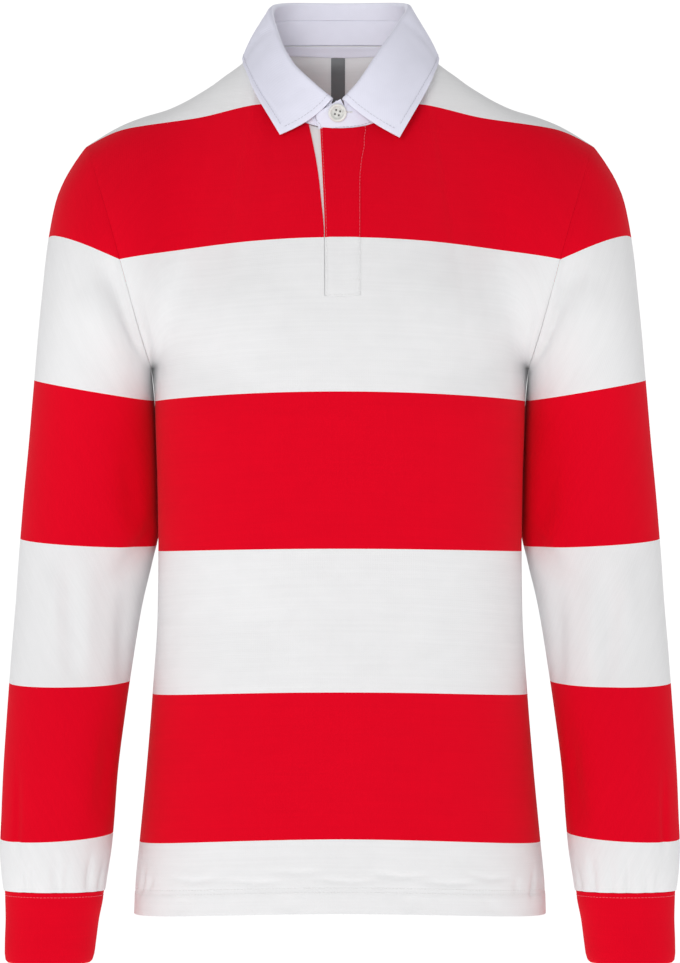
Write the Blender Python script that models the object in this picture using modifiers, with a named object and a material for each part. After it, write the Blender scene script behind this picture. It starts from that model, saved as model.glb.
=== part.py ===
"""Long-sleeve polo shirt of the rugby kind, worn by nobody: hollow cloth walls on a general figure.

Sizes are in millimetres and become metres where a mesh is made. +Z is up, the shirt faces -Y, and the
wearer's left is +X. The origin is the middle of the neck, level with where the collar meets the shoulders.
"""

import math

import bpy
import numpy as np

MM = 0.001
COLLECTION = "long_sleeve_polo_shirt"

# Cloth
JERSEY = 1.5  # thickness of the striped jersey
HEM_EXTRA = 0.7  # what the turned-up hem adds on the inside
HEM_HEIGHT = 19.0
CUFF_CLOTH = 2.0  # the cuffs are double
TWILL = 1.6  # stand and leaf
SEAM_GAP = 0.3
HALF_GAP = SEAM_GAP / 2

# Body
SIDE_SEAM_Y = 5.0
TORSO_SQUARENESS = 2.35  # 2 is an ellipse
HEM_LEVEL = -724.0
CHEST_LEVEL = -310.0  # the rings end here and the yoke's curved patch begins
VENT_TOP = -694.0
VENT_GAPE = 1.6
TORSO = (  # level at the side seam, half width, front depth, back depth, rise of the front's middle
    (-724.0, 174.6, 118.0, 112.0, 8.0),
    (-700.0, 173.8, 117.5, 111.5, 8.2),
    (-663.0, 170.3, 116.5, 110.0, 8.4),
    (-600.0, 164.3, 114.0, 107.0, 7.0),
    (-537.0, 159.2, 111.5, 103.5, 5.6),
    (-470.0, 155.0, 110.5, 99.5, 4.0),
    (-417.0, 154.4, 110.8, 98.5, 3.4),
    (-360.0, 155.2, 112.0, 101.0, 4.2),
    (-310.0, 156.8, 114.0, 104.5, 5.4),
    (-280.0, 157.6, 115.0, 106.5, 6.0),
)

# Armhole, for the +X side: from the underarm over the front to the shoulder tip, and the same at the back
UNDERARM = (161.2, 16.0, -262.0)
SHOULDER_TIP = (215.5, 0.0, -73.5)
ARMHOLE_FRONT = (  # x, y, z
    (160.6, -9.0, -260.0),
    (162.8, -30.0, -252.0),
    (168.8, -48.0, -231.0),
    (174.8, -58.0, -208.5),
    (184.5, -62.5, -172.0),
    (193.5, -58.0, -140.0),
    (203.0, -45.0, -109.0),
    (211.0, -25.0, -83.5),
)
ARMHOLE_BACK = (  # x, y, z
    (163.5, 38.0, -254.0),
    (170.5, 56.0, -229.0),
    (179.5, 64.5, -190.0),
    (190.0, 62.5, -150.0),
    (200.5, 51.0, -114.0),
    (210.5, 28.0, -84.0),
)

# Shoulder seam and neck seam, for the +X side
NECK_POINT = (70.5, -6.0, 7.5)
SHOULDER = (  # x, z from the neck point out to the tip
    (70.5, 7.5),
    (78.0, 1.4),
    (84.0, -4.0),
    (91.0, -9.2),
    (99.0, -14.8),
    (107.0, -20.8),
    (118.0, -27.8),
    (130.0, -34.8),
    (145.0, -41.8),
    (168.0, -48.8),
    (184.0, -55.0),
    (197.0, -61.8),
    (207.0, -68.0),
    (215.5, -73.5),
)
NECK_FRONT = (  # x, y, z from the middle of the front to the neck point
    (0.0, -68.0, -62.4),
    (17.0, -66.8, -61.0),
    (31.0, -62.5, -56.5),
    (48.0, -50.0, -43.0),
    (62.0, -28.0, -18.0),
    NECK_POINT,
)
NECK_BACK = (  # x, y, z from the middle of the back to the neck point
    (0.0, 62.0, 17.4),
    (30.0, 56.5, 17.0),
    (53.0, 38.0, 15.4),
    (66.0, 14.0, 12.0),
    NECK_POINT,
)
NECK_SHARE = 0.5  # share of each half panel's columns that end on the neck seam
YOKE_FRONT = (  # share of the half panel, pull at the chest, then the way in to the top edge and its pull
    (0.00, 240.0, 0.0, 0.48, 0.88, 235.0),
    (0.25, 240.0, 0.0, 0.60, 0.78, 225.0),
    (0.42, 240.0, 0.0, 0.85, 0.50, 190.0),
    (0.50, 240.0, 0.0, 0.97, 0.22, 165.0),
    (0.75, 215.0, 0.0, 0.99, 0.12, 150.0),
    (1.00, 200.0, 0.0, 0.99, 0.10, 140.0),
)
YOKE_BACK = (
    (0.00, 310.0, 0.0, -0.50, 0.87, 290.0),
    (0.25, 310.0, 0.0, -0.62, 0.78, 260.0),
    (0.42, 300.0, 0.0, -0.88, 0.40, 215.0),
    (0.50, 290.0, 0.0, -0.99, -0.12, 190.0),
    (0.75, 240.0, 0.0, -0.99, -0.12, 160.0),
    (1.00, 200.0, 0.0, -0.99, -0.10, 140.0),
)
EDGE_REACH = 0.45  # the armhole's own line shapes this share of the half panel beside it

# Sleeve, for the +X side
CAP_LEVEL = -312.0
SLEEVE_SQUARENESS = 2.1
SLEEVE = (  # level, inner x, outer x, middle y, depth
    (-300.0, 157.2, 263.2, 20.0, 128.0),
    (-330.0, 156.0, 266.0, 22.5, 124.0),
    (-365.0, 154.9, 269.5, 24.0, 119.5),
    (-398.0, 154.5, 272.3, 24.0, 115.5),
    (-425.0, 159.8, 274.3, 22.0, 112.5),
    (-463.0, 168.6, 276.6, 17.0, 108.5),
    (-502.0, 175.0, 279.5, 10.0, 105.0),
    (-552.0, 182.0, 282.6, -1.0, 100.0),
    (-604.0, 188.3, 285.5, -9.5, 95.0),
    (-642.0, 191.0, 286.9, -13.0, 91.5),
    (-667.0, 193.2, 287.8, -15.5, 88.5),
    (-688.0, 196.3, 286.6, -17.5, 84.0),
    (-703.4, 198.6, 284.6, -18.5, 76.0),
)
SHOULDER_OUTLINE = (  # height, x of the sleeve's outer edge from the tip down
    (-73.5, 215.5),
    (-78.0, 219.0),
    (-88.0, 226.0),
    (-102.0, 234.3),
    (-119.0, 241.3),
    (-141.0, 246.2),
    (-167.0, 250.2),
    (-196.0, 253.4),
    (-230.0, 257.0),
    (-264.0, 260.0),
    (-312.0, 264.3),
)
SLEEVE_HEAD = (  # share of the way round from the underarm, way out of the armhole, pulls at both ends
    (0.000, -0.20, 0.28, -0.94, 16.0, 48.0),
    (0.060, 0.57, -0.20, -0.80, 30.0, 52.0),
    (0.140, 0.68, -0.42, -0.60, 68.0, 76.0),
    (0.250, 0.88, -0.16, -0.45, 115.0, 145.0),
    (0.375, 0.83, -0.08, -0.55, 165.0, 190.0),
    (0.500, 0.76, 0.00, -0.65, 190.0, 225.0),
)
FOLD_GIRTH = 340.0  # turns a fold's share round into millimetres
SLEEVE_FOLDS = (  # share round and height at both ends, half width, depth: soft troughs in the sleeve
    (0.300, -196.0, 0.105, -268.0, 13.0, 4.5),
    (0.190, -196.0, 0.110, -250.0, 8.0, -1.6),
    (0.720, -205.0, 0.900, -275.0, 13.0, 4.0),
    (0.060, -395.0, 0.190, -440.0, 12.0, 2.2),
    (0.960, -400.0, 0.820, -448.0, 12.0, 2.4),
    (0.420, -655.0, 0.450, -700.0, 7.0, 1.6),
)

# Cuff, for the +X side
CUFF = (  # level, inner x, outer x, middle y, depth
    (-703.7, 199.6, 283.6, -18.7, 73.0),
    (-712.0, 200.6, 283.2, -19.3, 71.5),
    (-728.0, 203.8, 282.8, -20.6, 69.0),
    (-745.0, 206.0, 283.3, -22.0, 67.0),
    (-757.0, 207.6, 283.4, -23.0, 65.5),
    (-761.8, 209.2, 282.6, -23.4, 64.0),
    (-763.8, 211.2, 280.8, -23.6, 61.5),
)

# Placket: the slit in the front and the fly in it
SLIT_BOTTOM = -204.8
SLIT_LEFT = ((-204.8, -12.9), (-155.0, -13.3), (-120.0, -16.2), (-96.0, -19.3), (-59.0, -26.8))  # z, x
SLIT_RIGHT = ((-204.8, 17.4), (-110.0, 17.4), (-85.0, 20.0), (-59.0, 22.3))  # z, x
FLY_LEFT = ((-204.8, -12.2), (-155.0, -12.6), (-59.0, -16.8))  # z, x
FLY_PROUD = 0.8
FLY_CLOTH = 2.0
UNDERLAY_DEPTH = 1.9
UNDERLAY_CLOTH = 1.4
UNDERLAY_SPARE = (7.0, 4.0)  # how far it runs past the slit's two edges
UNDERLAY_TAIL = 5.0  # how far below the slit it runs

# Collar: a row for each section, from the wearer's right throat round the back to the left one
THROAT = 6.0  # how far from the middle the leaf begins
THROAT_CLEAR = 3.0  # room between that and the seam's next point
COLLAR = (  # share of the way round the neck seam, roll line x y z, leaf edge x y z, the roll's own fall
    (0.013, -5.6, -70.5, -37.4, -50.2, -76.5, -67.8, 5.0),
    (0.054, -22.1, -64.5, -23.4, -58.6, -71.0, -53.8, 6.0),
    (0.113, -39.9, -50.0, -4.7, -69.0, -57.0, -36.0, 8.0),
    (0.188, -51.0, -26.0, 18.5, -77.6, -40.5, -16.5, 9.5),
    (0.289, -57.2, 6.0, 43.0, -83.6, -3.0, 0.9, 11.5),
    (0.334, -54.5, 26.0, 49.5, -80.5, 30.0, 4.5, 12.0),
    (0.415, -36.0, 56.5, 53.8, -58.0, 65.0, 8.0, 12.3),
    (0.500, 0.0, 70.0, 54.6, 0.0, 80.0, 9.0, 12.5),
    (0.585, 36.0, 56.5, 53.8, 58.0, 65.0, 8.0, 12.3),
    (0.666, 54.5, 26.0, 50.5, 81.5, 30.0, 4.5, 12.0),
    (0.711, 56.8, 7.0, 46.0, 84.8, -3.0, 1.0, 11.5),
    (0.812, 46.5, -24.0, 26.5, 79.4, -39.0, -15.0, 9.5),
    (0.887, 30.5, -54.0, 1.0, 71.0, -56.5, -33.0, 8.0),
    (0.946, 14.2, -67.8, -24.0, 59.4, -71.5, -53.5, 6.0),
    (0.987, 1.5, -71.5, -37.8, 49.8, -77.0, -70.3, 5.0),
)
ROLL_RADIUS = 2.9
LEAF_BELLY = 0.45  # where the outer leaf starts to bend away, as a share of its length
LAP_STEP = 1.0  # how far the stand's upper end stands out, and its lower end in
LAP_FADE = 45.0  # the stand is back in line with the neck seam this far from the middle
LAP_OVER = (  # foot's distance past the middle and drop, height over the foot, lean outward at the top
    (-0.5, 0.3, 24.5, 0.0),
    (5.0, 1.1, 22.0, 0.4),
    (10.0, 1.7, 18.8, 0.8),
    (14.0, 2.0, 16.2, 1.5),
    (16.6, 2.2, 14.4, 2.2),
    (17.7, 2.2, 12.4, 2.5),
    (18.0, 2.2, 9.8, 2.4),
)
LAP_UNDER = (  # the same for the lower end
    (-3.5, 0.0, 23.0, 0.0),
    (0.5, 0.0, 22.0, 0.2),
    (5.0, 0.0, 17.0, 0.4),
    (10.0, 0.0, 15.0, 0.8),
    (13.5, 0.0, 13.0, 1.2),
    (14.8, 0.0, 10.0, 1.4),
)
FLY_SHORT = (3.2, 2.7, 1.7, 0.6)  # how far the fly stops below the neck seam, under the stand's end

# Inside the back neck
TAPE_WIDTH = 9.5
TAPE_CLOTH = 0.9
TAPE_TOP = 0.6  # below the neck seam
TAPE_GAP = 0.3
TAPE_SHORT = 3  # columns of the neck seam that it leaves free at each end
LABEL_WIDTH = 12.0
LABEL_MIDDLE = -1.7
LABEL_LENGTH = 46.0
LABEL_CLOTH = 0.6

# Button
BUTTON_RADIUS = 7.75
BUTTON_MIDDLE = (-2.1, -49.6)  # x, z
BUTTON_TURN = math.radians(28)
BUTTON_HOLE_RADIUS = 0.75
BUTTON_HOLE_PITCH = 1.75  # from the middle
BUTTON_PROFILE = (  # radius, height over the stand
    (0.0, 1.5),
    (4.3, 1.5),
    (5.0, 1.9),
    (5.8, 2.9),
    (6.9, 3.0),
    (7.6, 2.4),
    (7.75, 1.7),
    (7.2, 0.9),
    (5.2, 0.3),
    (0.0, 0.3),
)

# How finely each piece is divided
HEM_LEVELS = (-724.0, -714.0, -705.0, -694.0)
RING_LEVELS = HEM_LEVELS + (-663.0, -620.0, -575.0, -530.0, -480.0, -430.0, -385.0, -345.0, -310.0)
SHOULDER_CELLS = 6
NECK_CELLS = 6
SLIT_CELLS = 3
ROWS_TO_SLIT = 3
ROWS_ABOVE_SLIT = 8
CAP_ROWS = 8
UPPER_SLEEVE_LEVELS = (-340.0, -370.0, -400.0, -430.0, -465.0, -505.0)
SLEEVE_LEVELS = UPPER_SLEEVE_LEVELS + (-550.0, -600.0, -640.0, -667.0, -688.0, -703.4)
BEND_STEPS = 4
LEAF_STEPS = 4
SAMPLES = 801

COLOURS = {  # linear colour, roughness
    "red_and_white_jersey": ((0.76, 0.02, 0.03, 1.0), 0.85),
    "red_jersey": ((0.70, 0.01, 0.02, 1.0), 0.85),
    "white_jersey": ((0.82, 0.82, 0.80, 1.0), 0.85),
    "white_twill": ((0.78, 0.78, 0.86, 1.0), 0.75),
    "grey_satin": ((0.09, 0.10, 0.11, 1.0), 0.45),
    "white_resin": ((0.72, 0.72, 0.68, 1.0), 0.30),
}


# ---------------------------------------------------------------- curves


def smooth(xs, ys, at):
    """The curve through (xs, ys) that never overshoots its points, read at `at`."""
    xs, ys = np.asarray(xs, float), np.asarray(ys, float)
    if xs[0] > xs[-1]:
        xs, ys = xs[::-1], ys[::-1]
    step = np.diff(xs)
    slope = np.diff(ys) / step
    tangent = np.empty_like(ys)
    tangent[0], tangent[-1] = slope[0], slope[-1]
    product = slope[:-1] * slope[1:]
    weighted = slope[:-1] * step[1:] + slope[1:] * step[:-1]
    safe = np.where(product > 0, weighted, 1.0)
    tangent[1:-1] = np.where(product > 0, product * (step[1:] + step[:-1]) / safe, 0.0)
    at = np.clip(at, xs[0], xs[-1])
    k = np.clip(np.searchsorted(xs, at) - 1, 0, len(xs) - 2)
    t = (at - xs[k]) / step[k]
    return (
        ys[k] * (1 + 2 * t) * (1 - t) ** 2
        + tangent[k] * step[k] * t * (1 - t) ** 2
        + ys[k + 1] * t * t * (3 - 2 * t)
        + tangent[k + 1] * step[k] * t * t * (t - 1)
    )


def column(rows, index, at):
    """One column of a table against its first column."""
    return smooth([row[0] for row in rows], [row[index] for row in rows], at)


def line_through(points):
    """A dense smooth line through points in space, as (points, distance along)."""
    points = np.asarray(points, float)
    chord = np.linalg.norm(np.diff(points, axis=0), axis=1)
    knots = np.concatenate([[0.0], np.cumsum(chord)])
    slope = np.diff(points, axis=0) / chord[:, None]
    weight = (chord[:-1] / (chord[:-1] + chord[1:]))[:, None]
    tangent = np.empty_like(points)
    tangent[1:-1] = slope[:-1] * (1 - weight) + slope[1:] * weight
    tangent[0] = 1.5 * slope[0] - 0.5 * tangent[1]
    tangent[-1] = 1.5 * slope[-1] - 0.5 * tangent[-2]
    at = np.linspace(0.0, knots[-1], SAMPLES)
    k = np.clip(np.searchsorted(knots, at) - 1, 0, len(chord) - 1)
    length = chord[k][:, None]
    t = ((at - knots[k]) / chord[k])[:, None]
    dense = (
        points[k] * (1 + 2 * t) * (1 - t) ** 2
        + tangent[k] * length * t * (1 - t) ** 2
        + points[k + 1] * t * t * (3 - 2 * t)
        + tangent[k + 1] * length * t * t * (t - 1)
    )
    run = np.concatenate([[0.0], np.cumsum(np.linalg.norm(np.diff(dense, axis=0), axis=1))])
    return dense, run


def along(line, share):
    """Points of a dense line at shares of its length."""
    dense, run = line
    at = np.asarray(share, float) * run[-1]
    return np.stack([np.interp(at, run, dense[:, axis]) for axis in range(3)], axis=-1)


def unit(vectors):
    return vectors / np.linalg.norm(vectors, axis=-1, keepdims=True)


def ease(t):
    """0 to 1 with level ends."""
    t = np.clip(t, 0.0, 1.0)
    return t * t * (3 - 2 * t)


# ---------------------------------------------------------------- front and back


def torso_ring(side, level):
    """Half a ring of the body, from -X to +X, over the front (side -1) or the back (side 1)."""
    half = column(TORSO, 1, level)
    depth = column(TORSO, 2, level) + SIDE_SEAM_Y if side < 0 else column(TORSO, 3, level) - SIDE_SEAM_Y
    turn = np.linspace(math.pi, 0.0, SAMPLES)
    across, out = np.abs(np.cos(turn)), np.sin(turn)
    power = TORSO_SQUARENESS
    reach = ((across / half) ** power + (out / depth) ** power) ** (-1 / power)
    x = reach * np.cos(turn)
    rise = column(TORSO, 4, level) if side < 0 else 0.0
    z = level + rise * (1 - (x / half) ** 2)
    points = np.stack([x, SIDE_SEAM_Y + side * reach * out, z], axis=-1)
    run = np.concatenate([[0.0], np.cumsum(np.linalg.norm(np.diff(points, axis=0), axis=1))])
    return points, run


def top_line(side):
    """The shoulder seam and half the neck seam of one panel, as two lines that meet at the neck point."""
    shoulder_x = np.array([row[0] for row in SHOULDER])
    share = (shoulder_x - shoulder_x[0]) / (shoulder_x[-1] - shoulder_x[0])
    shoulder_y = NECK_POINT[1] + (SHOULDER_TIP[1] - NECK_POINT[1]) * share
    shoulder = np.stack([shoulder_x, shoulder_y, [row[1] for row in SHOULDER]], axis=-1)
    return line_through(NECK_FRONT if side < 0 else NECK_BACK), line_through(shoulder)


def armhole(side):
    return line_through((UNDERARM,) + (ARMHOLE_FRONT if side < 0 else ARMHOLE_BACK) + (SHOULDER_TIP,))


def side_seam():
    """The short stretch of side seam from the chest ring up into the underarm, flaring out."""
    foot = torso_ring(-1, CHEST_LEVEL)[0][-1]
    return line_through((foot, (157.6, 7.5, -290.0), (159.2, 11.5, -274.0), UNDERARM))


def seam_share():
    """Where the underarm lies on a panel's edge, as a share of the yoke patch's height."""
    seam, hole = side_seam()[1][-1], armhole(-1)[1][-1]
    return seam / (seam + hole)


def hermite(start, start_pull, end, end_pull, t):
    t = t[..., None]
    return (
        start * (1 + 2 * t) * (1 - t) ** 2
        + start_pull * t * (1 - t) ** 2
        + end * t * t * (3 - 2 * t)
        + end_pull * t * t * (t - 1)
    )


class Panel:
    """The outer face of the front or the back.

    Up to the chest it is rings. Above, the yoke patch: curved columns from the chest ring to the shoulder
    and neck seams, drawn to the armhole's own line at both edges. u runs from -1 to 1 across, and v from
    0 at the chest ring to 1 at the top.
    """

    def __init__(self, side):
        self.side = side
        self.base = torso_ring(side, CHEST_LEVEL)
        below = torso_ring(side, CHEST_LEVEL - 4.0)
        self.lean = unit(along(self.base, self.shares()) - along(below, self.shares()))
        self.neck, self.shoulder = top_line(side)
        self.hole = armhole(side)
        self.seam = side_seam()
        self.corner = seam_share()
        self.yoke = YOKE_FRONT if side < 0 else YOKE_BACK
        self.levels = np.linspace(0.0, 1.0, SAMPLES)
        self.pull_aside = self.edge(self.levels) - self.bare(np.ones(SAMPLES), self.levels)

    @staticmethod
    def shares():
        return np.linspace(0.0, 1.0, SAMPLES)

    def ring(self, u, level):
        return along(torso_ring(self.side, level), (np.asarray(u) + 1) / 2)

    def edge(self, v):
        """The panel's +X edge: the side seam, then the armhole."""
        on_seam = along(self.seam, np.clip(v / self.corner, 0, 1))
        on_hole = along(self.hole, np.clip((v - self.corner) / (1 - self.corner), 0, 1))
        return np.where((v <= self.corner)[..., None], on_seam, on_hole)

    def top(self, u):
        size = np.abs(u)
        on_neck = along(self.neck, np.clip(size / NECK_SHARE, 0, 1))
        on_shoulder = along(self.shoulder, np.clip((size - NECK_SHARE) / (1 - NECK_SHARE), 0, 1))
        points = np.where((size <= NECK_SHARE)[..., None], on_neck, on_shoulder)
        points[..., 0] *= np.where(u < 0, -1.0, 1.0)
        return points

    def bare(self, u, v):
        """The patch before the armholes draw it to them."""
        size = np.abs(u)
        share = (u + 1) / 2
        foot = along(self.base, share)
        lean = np.stack([np.interp(share, self.shares(), self.lean[:, k]) for k in range(3)], axis=-1)
        way = np.stack([column(self.yoke, k, size) for k in (2, 3, 4)], axis=-1)
        pull = unit(way) * column(self.yoke, 5, size)[..., None]
        return hermite(foot, lean * column(self.yoke, 1, size)[..., None], self.top(u), pull, v)

    def patch(self, u, v):
        u, v = np.broadcast_arrays(np.asarray(u, float), np.asarray(v, float))
        drawn = np.stack([np.interp(v, self.levels, self.pull_aside[:, k]) for k in range(3)], axis=-1)
        drawn[..., 0] *= np.where(u < 0, -1.0, 1.0)
        near = ease((np.abs(u) - 1 + EDGE_REACH) / EDGE_REACH) ** 1.5
        return self.bare(u, v) + drawn * near[..., None]

    def u_at(self, x, v):
        """The column that passes through x at height v, near the middle."""
        x, v = np.broadcast_arrays(np.asarray(x, float), np.asarray(v, float))
        low, high = np.full(x.shape, -0.5), np.full(x.shape, 0.5)
        for _ in range(40):
            middle = (low + high) / 2
            over = self.patch(middle, v)[..., 0] > x
            high = np.where(over, middle, high)
            low = np.where(over, low, middle)
        return (low + high) / 2

    def v_at(self, z):
        """The height share at which the middle column passes z."""
        v = np.linspace(0.0, 1.0, SAMPLES)
        return float(np.interp(z, self.patch(np.zeros(SAMPLES), v)[:, 2], v))


def grid_normals(points, outward, wrap=False):
    """Normals of a grid of points, turned so that they agree with `outward`, 1 or -1."""
    if wrap:
        around = np.roll(points, -1, axis=1) - np.roll(points, 1, axis=1)
    else:
        around = np.gradient(points, axis=1)
    along_rows = np.gradient(points, axis=0)
    return unit(np.cross(around, along_rows)) * outward


def mitre(*normals):
    """The shared offset of walls that meet: one unit out of each of them."""
    total = sum(normals)
    return total / np.mean([np.sum(total * normal, axis=-1) for normal in normals], axis=0)[..., None]


def row_values():
    """Heights of the yoke patch's rows, with one row at the underarm and one at the slit's bottom."""
    corner, slit = seam_share(), FRONT.v_at(SLIT_BOTTOM)
    lower = np.linspace(0.0, corner, 3)[1:]
    middle = np.linspace(corner, slit, ROWS_TO_SLIT + 1)[1:]
    upper = np.linspace(slit, 1.0, ROWS_ABOVE_SLIT + 1)[1:]
    return np.concatenate([lower, middle, upper])


def shoulder_columns():
    return np.linspace(-1.0, -NECK_SHARE, SHOULDER_CELLS + 1)


def front_columns(v):
    """Columns of the front at height v: the slit's two edges are columns of their own."""
    z = FRONT.patch(np.zeros(1), np.array([v]))[0, 2]
    left = FRONT.u_at(column(SLIT_LEFT, 1, z) - HALF_GAP, v)
    right = FRONT.u_at(column(SLIT_RIGHT, 1, z) + HALF_GAP, v)
    outer = shoulder_columns()
    parts = (
        outer[:-1],
        np.linspace(-NECK_SHARE, left, NECK_CELLS + 1)[:-1],
        np.linspace(left, right, SLIT_CELLS + 1)[:-1],
        np.linspace(right, NECK_SHARE, NECK_CELLS + 1)[:-1],
        -outer[::-1],
    )
    return np.concatenate(parts)


def back_columns(v):
    outer = shoulder_columns()
    neck = np.linspace(-NECK_SHARE, NECK_SHARE, 2 * NECK_CELLS + 1)
    return np.concatenate([outer[:-1], neck[:-1], -outer[::-1]])


def panel_grid(panel, columns):
    """(outer points, normals) of a whole panel, hem to top."""
    rows = row_values()
    low = columns(0.0) if panel.side > 0 else columns(FRONT.v_at(SLIT_BOTTOM))
    points = [panel.ring(low, level) for level in RING_LEVELS]
    for v in rows:
        u = low if v < FRONT.v_at(SLIT_BOTTOM) else columns(v)
        points.append(panel.patch(u, np.full(len(u), v)))
    points = np.array(points)
    return points, grid_normals(points, -panel.side)


# ---------------------------------------------------------------- sleeves and cuffs


def tube_ring(rows, level, share, squareness):
    """Points round a sleeve or cuff at a level, by share of the way round from the inner side."""
    inner, outer, middle, depth = (column(rows, k, level) for k in (1, 2, 3, 4))
    turn = np.linspace(math.pi, -math.pi, SAMPLES)
    across, out = np.abs(np.cos(turn)), np.abs(np.sin(turn))
    half_x, half_y = (outer - inner) / 2, depth / 2
    reach = ((across / half_x) ** squareness + (out / half_y) ** squareness) ** (-1 / squareness)
    points = np.stack(
        [
            (inner + outer) / 2 + reach * np.cos(turn),
            middle - reach * np.sin(turn),
            np.full(SAMPLES, float(level)),
        ],
        axis=-1,
    )
    run = np.concatenate([[0.0], np.cumsum(np.linalg.norm(np.diff(points, axis=0), axis=1))])
    return along((points, run), share)


def folded(points, normals, share):
    """Points with the soft troughs of SLEEVE_FOLDS pressed in along their normals."""
    depth = np.zeros(points.shape[:-1])
    around = FOLD_GIRTH
    for share_a, z_a, share_b, z_b, width, deep in SLEEVE_FOLDS:
        start, run = np.array([share_a * around, z_a]), np.array([(share_b - share_a) * around, z_b - z_a])
        here = np.stack([share * around, points[..., 2]], axis=-1) - start
        t = np.clip(here @ run / (run @ run), 0, 1)
        apart = np.linalg.norm(here - t[..., None] * run, axis=-1)
        depth += deep * np.exp(-((apart / width) ** 2)) * (0.35 + 0.65 * np.sin(math.pi * t))
    return points - normals * depth[..., None]


def sleeve_grid(ring):
    """Outer points of the +X sleeve from the armhole points in `ring` to the cuff seam."""
    count = len(ring)
    share = np.arange(count) / count
    mirrored = np.minimum(share, 1 - share)
    sign = np.where(share > 0.5, -1.0, 1.0)
    end = tube_ring(SLEEVE, CAP_LEVEL, share, SLEEVE_SQUARENESS)
    below = tube_ring(SLEEVE, CAP_LEVEL - 4.0, share, SLEEVE_SQUARENESS)
    way = unit(np.stack([column(SLEEVE_HEAD, k, mirrored) for k in (1, 2, 3)], axis=-1))
    way[:, 1] *= sign
    start_pull = way * column(SLEEVE_HEAD, 4, mirrored)[:, None]
    end_pull = unit(below - end) * column(SLEEVE_HEAD, 5, mirrored)[:, None]
    rows = []
    for t in np.linspace(0.0, 1.0, CAP_ROWS + 1):
        row = hermite(ring, start_pull, end, end_pull, np.full(count, t))
        crest = row[count // 2]
        outline = column(SHOULDER_OUTLINE, 1, crest[2]) - crest[0]
        row[:, 0] += outline * ease((mirrored - 0.22) / 0.28)
        rows.append(row)
    rows += [tube_ring(SLEEVE, level, share, SLEEVE_SQUARENESS) for level in SLEEVE_LEVELS]
    points = np.array(rows)
    normals = grid_normals(points, -1, wrap=True)
    shares = np.broadcast_to(share, points.shape[:-1])
    pressed = folded(points, normals, shares)
    pressed[0] = points[0]
    return pressed, grid_normals(pressed, -1, wrap=True)


def cuff_grid(count):
    share = np.arange(count) / count
    points = np.array([tube_ring(CUFF, row[0], share, SLEEVE_SQUARENESS) for row in CUFF])
    return points, grid_normals(points, -1, wrap=True)


# ---------------------------------------------------------------- on a panel's own points


def at_x(line, x):
    """Points of a row of points at the given x, on the straight stretches between them."""
    return np.stack([np.interp(x, line[:, 0], line[:, axis]) for axis in range(3)], axis=-1)


def below_top(grid, distances):
    """Rows of a panel's grid at distances below its top row, measured down the middle column."""
    down = grid[::-1]
    middle = grid.shape[1] // 2
    steps = np.linalg.norm(np.diff(down[:, middle], axis=0), axis=1)
    depth = np.concatenate([[0.0], np.cumsum(steps)])
    place = np.interp(distances, depth, np.arange(len(depth)))
    row = np.minimum(place.astype(int), len(grid) - 2)
    part = (place - row)[:, None, None]
    return down[row] * (1 - part) + down[row + 1] * part


def with_own_rows(grid, start, end):
    """Distances below the top from start to end, with the grid's own rows between them."""
    middle = grid.shape[1] // 2
    steps = np.linalg.norm(np.diff(grid[::-1, middle], axis=0), axis=1)
    return [start, *[depth for depth in np.cumsum(steps) if start + 1.0 < depth < end - 1.0], end]


# ---------------------------------------------------------------- collar


def neck_loop(front, back):
    """The neck seam on the panels' own top edges, from the right throat round the back to the left one.

    The points come with their shares of the way round from the middle of the front, and their run.
    """
    inside = slice(SHOULDER_CELLS, -SHOULDER_CELLS)
    before, behind = front[-1, inside], back[-1, inside]
    clear = THROAT + THROAT_CLEAR
    ends = at_x(before, [-THROAT, THROAT])
    right = before[before[:, 0] < -clear][::-1]
    left = before[before[:, 0] > clear][::-1]
    corners = np.concatenate([ends[:1], right, behind[1:-1], left, ends[1:]])
    points = np.empty((2 * len(corners) - 1, 3))
    points[::2] = corners
    points[1::2] = (corners[:-1] + corners[1:]) / 2
    run = THROAT + np.concatenate([[0.0], np.cumsum(np.linalg.norm(np.diff(points, axis=0), axis=1))])
    return points, run / (run[-1] + THROAT), run


def leaf_face(neck, share):
    """Face of the leaf: from the stand's top up inside the neck, over the roll and down to its edge."""
    roll = np.stack([column(COLLAR, k, share) for k in (1, 2, 3)], axis=-1)
    edge = np.stack([column(COLLAR, k, share) for k in (4, 5, 6)], axis=-1)
    fall = column(COLLAR, 7, share)[:, None]
    along_roll = unit(np.gradient(roll, axis=0))

    def square(vectors):
        return unit(vectors - np.sum(vectors * along_roll, axis=1, keepdims=True) * along_roll)

    apex = unit(square(roll - neck) + square(roll - edge))
    outward = unit(np.cross(along_roll, apex))
    outward *= np.sign(np.sum(outward * (edge - neck), axis=1, keepdims=True))
    middle = roll - apex * ROLL_RADIUS
    start = middle - outward * ROLL_RADIUS
    foot = start + unit(neck - start) * fall
    face = [foot, (foot + start) / 2]
    for turn in np.linspace(0.0, math.pi, BEND_STEPS + 1):
        face.append(middle - outward * ROLL_RADIUS * math.cos(turn) + apex * ROLL_RADIUS * math.sin(turn))
    last = face[-1]
    length = np.linalg.norm(edge - last, axis=1, keepdims=True)
    belly = last - apex * length * LEAF_BELLY
    for t in np.linspace(0.0, 1.0, LEAF_STEPS + 1)[1:]:
        face.append(last * (1 - t) ** 2 + belly * 2 * t * (1 - t) + edge * t * t)
    return np.array(face)


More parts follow.
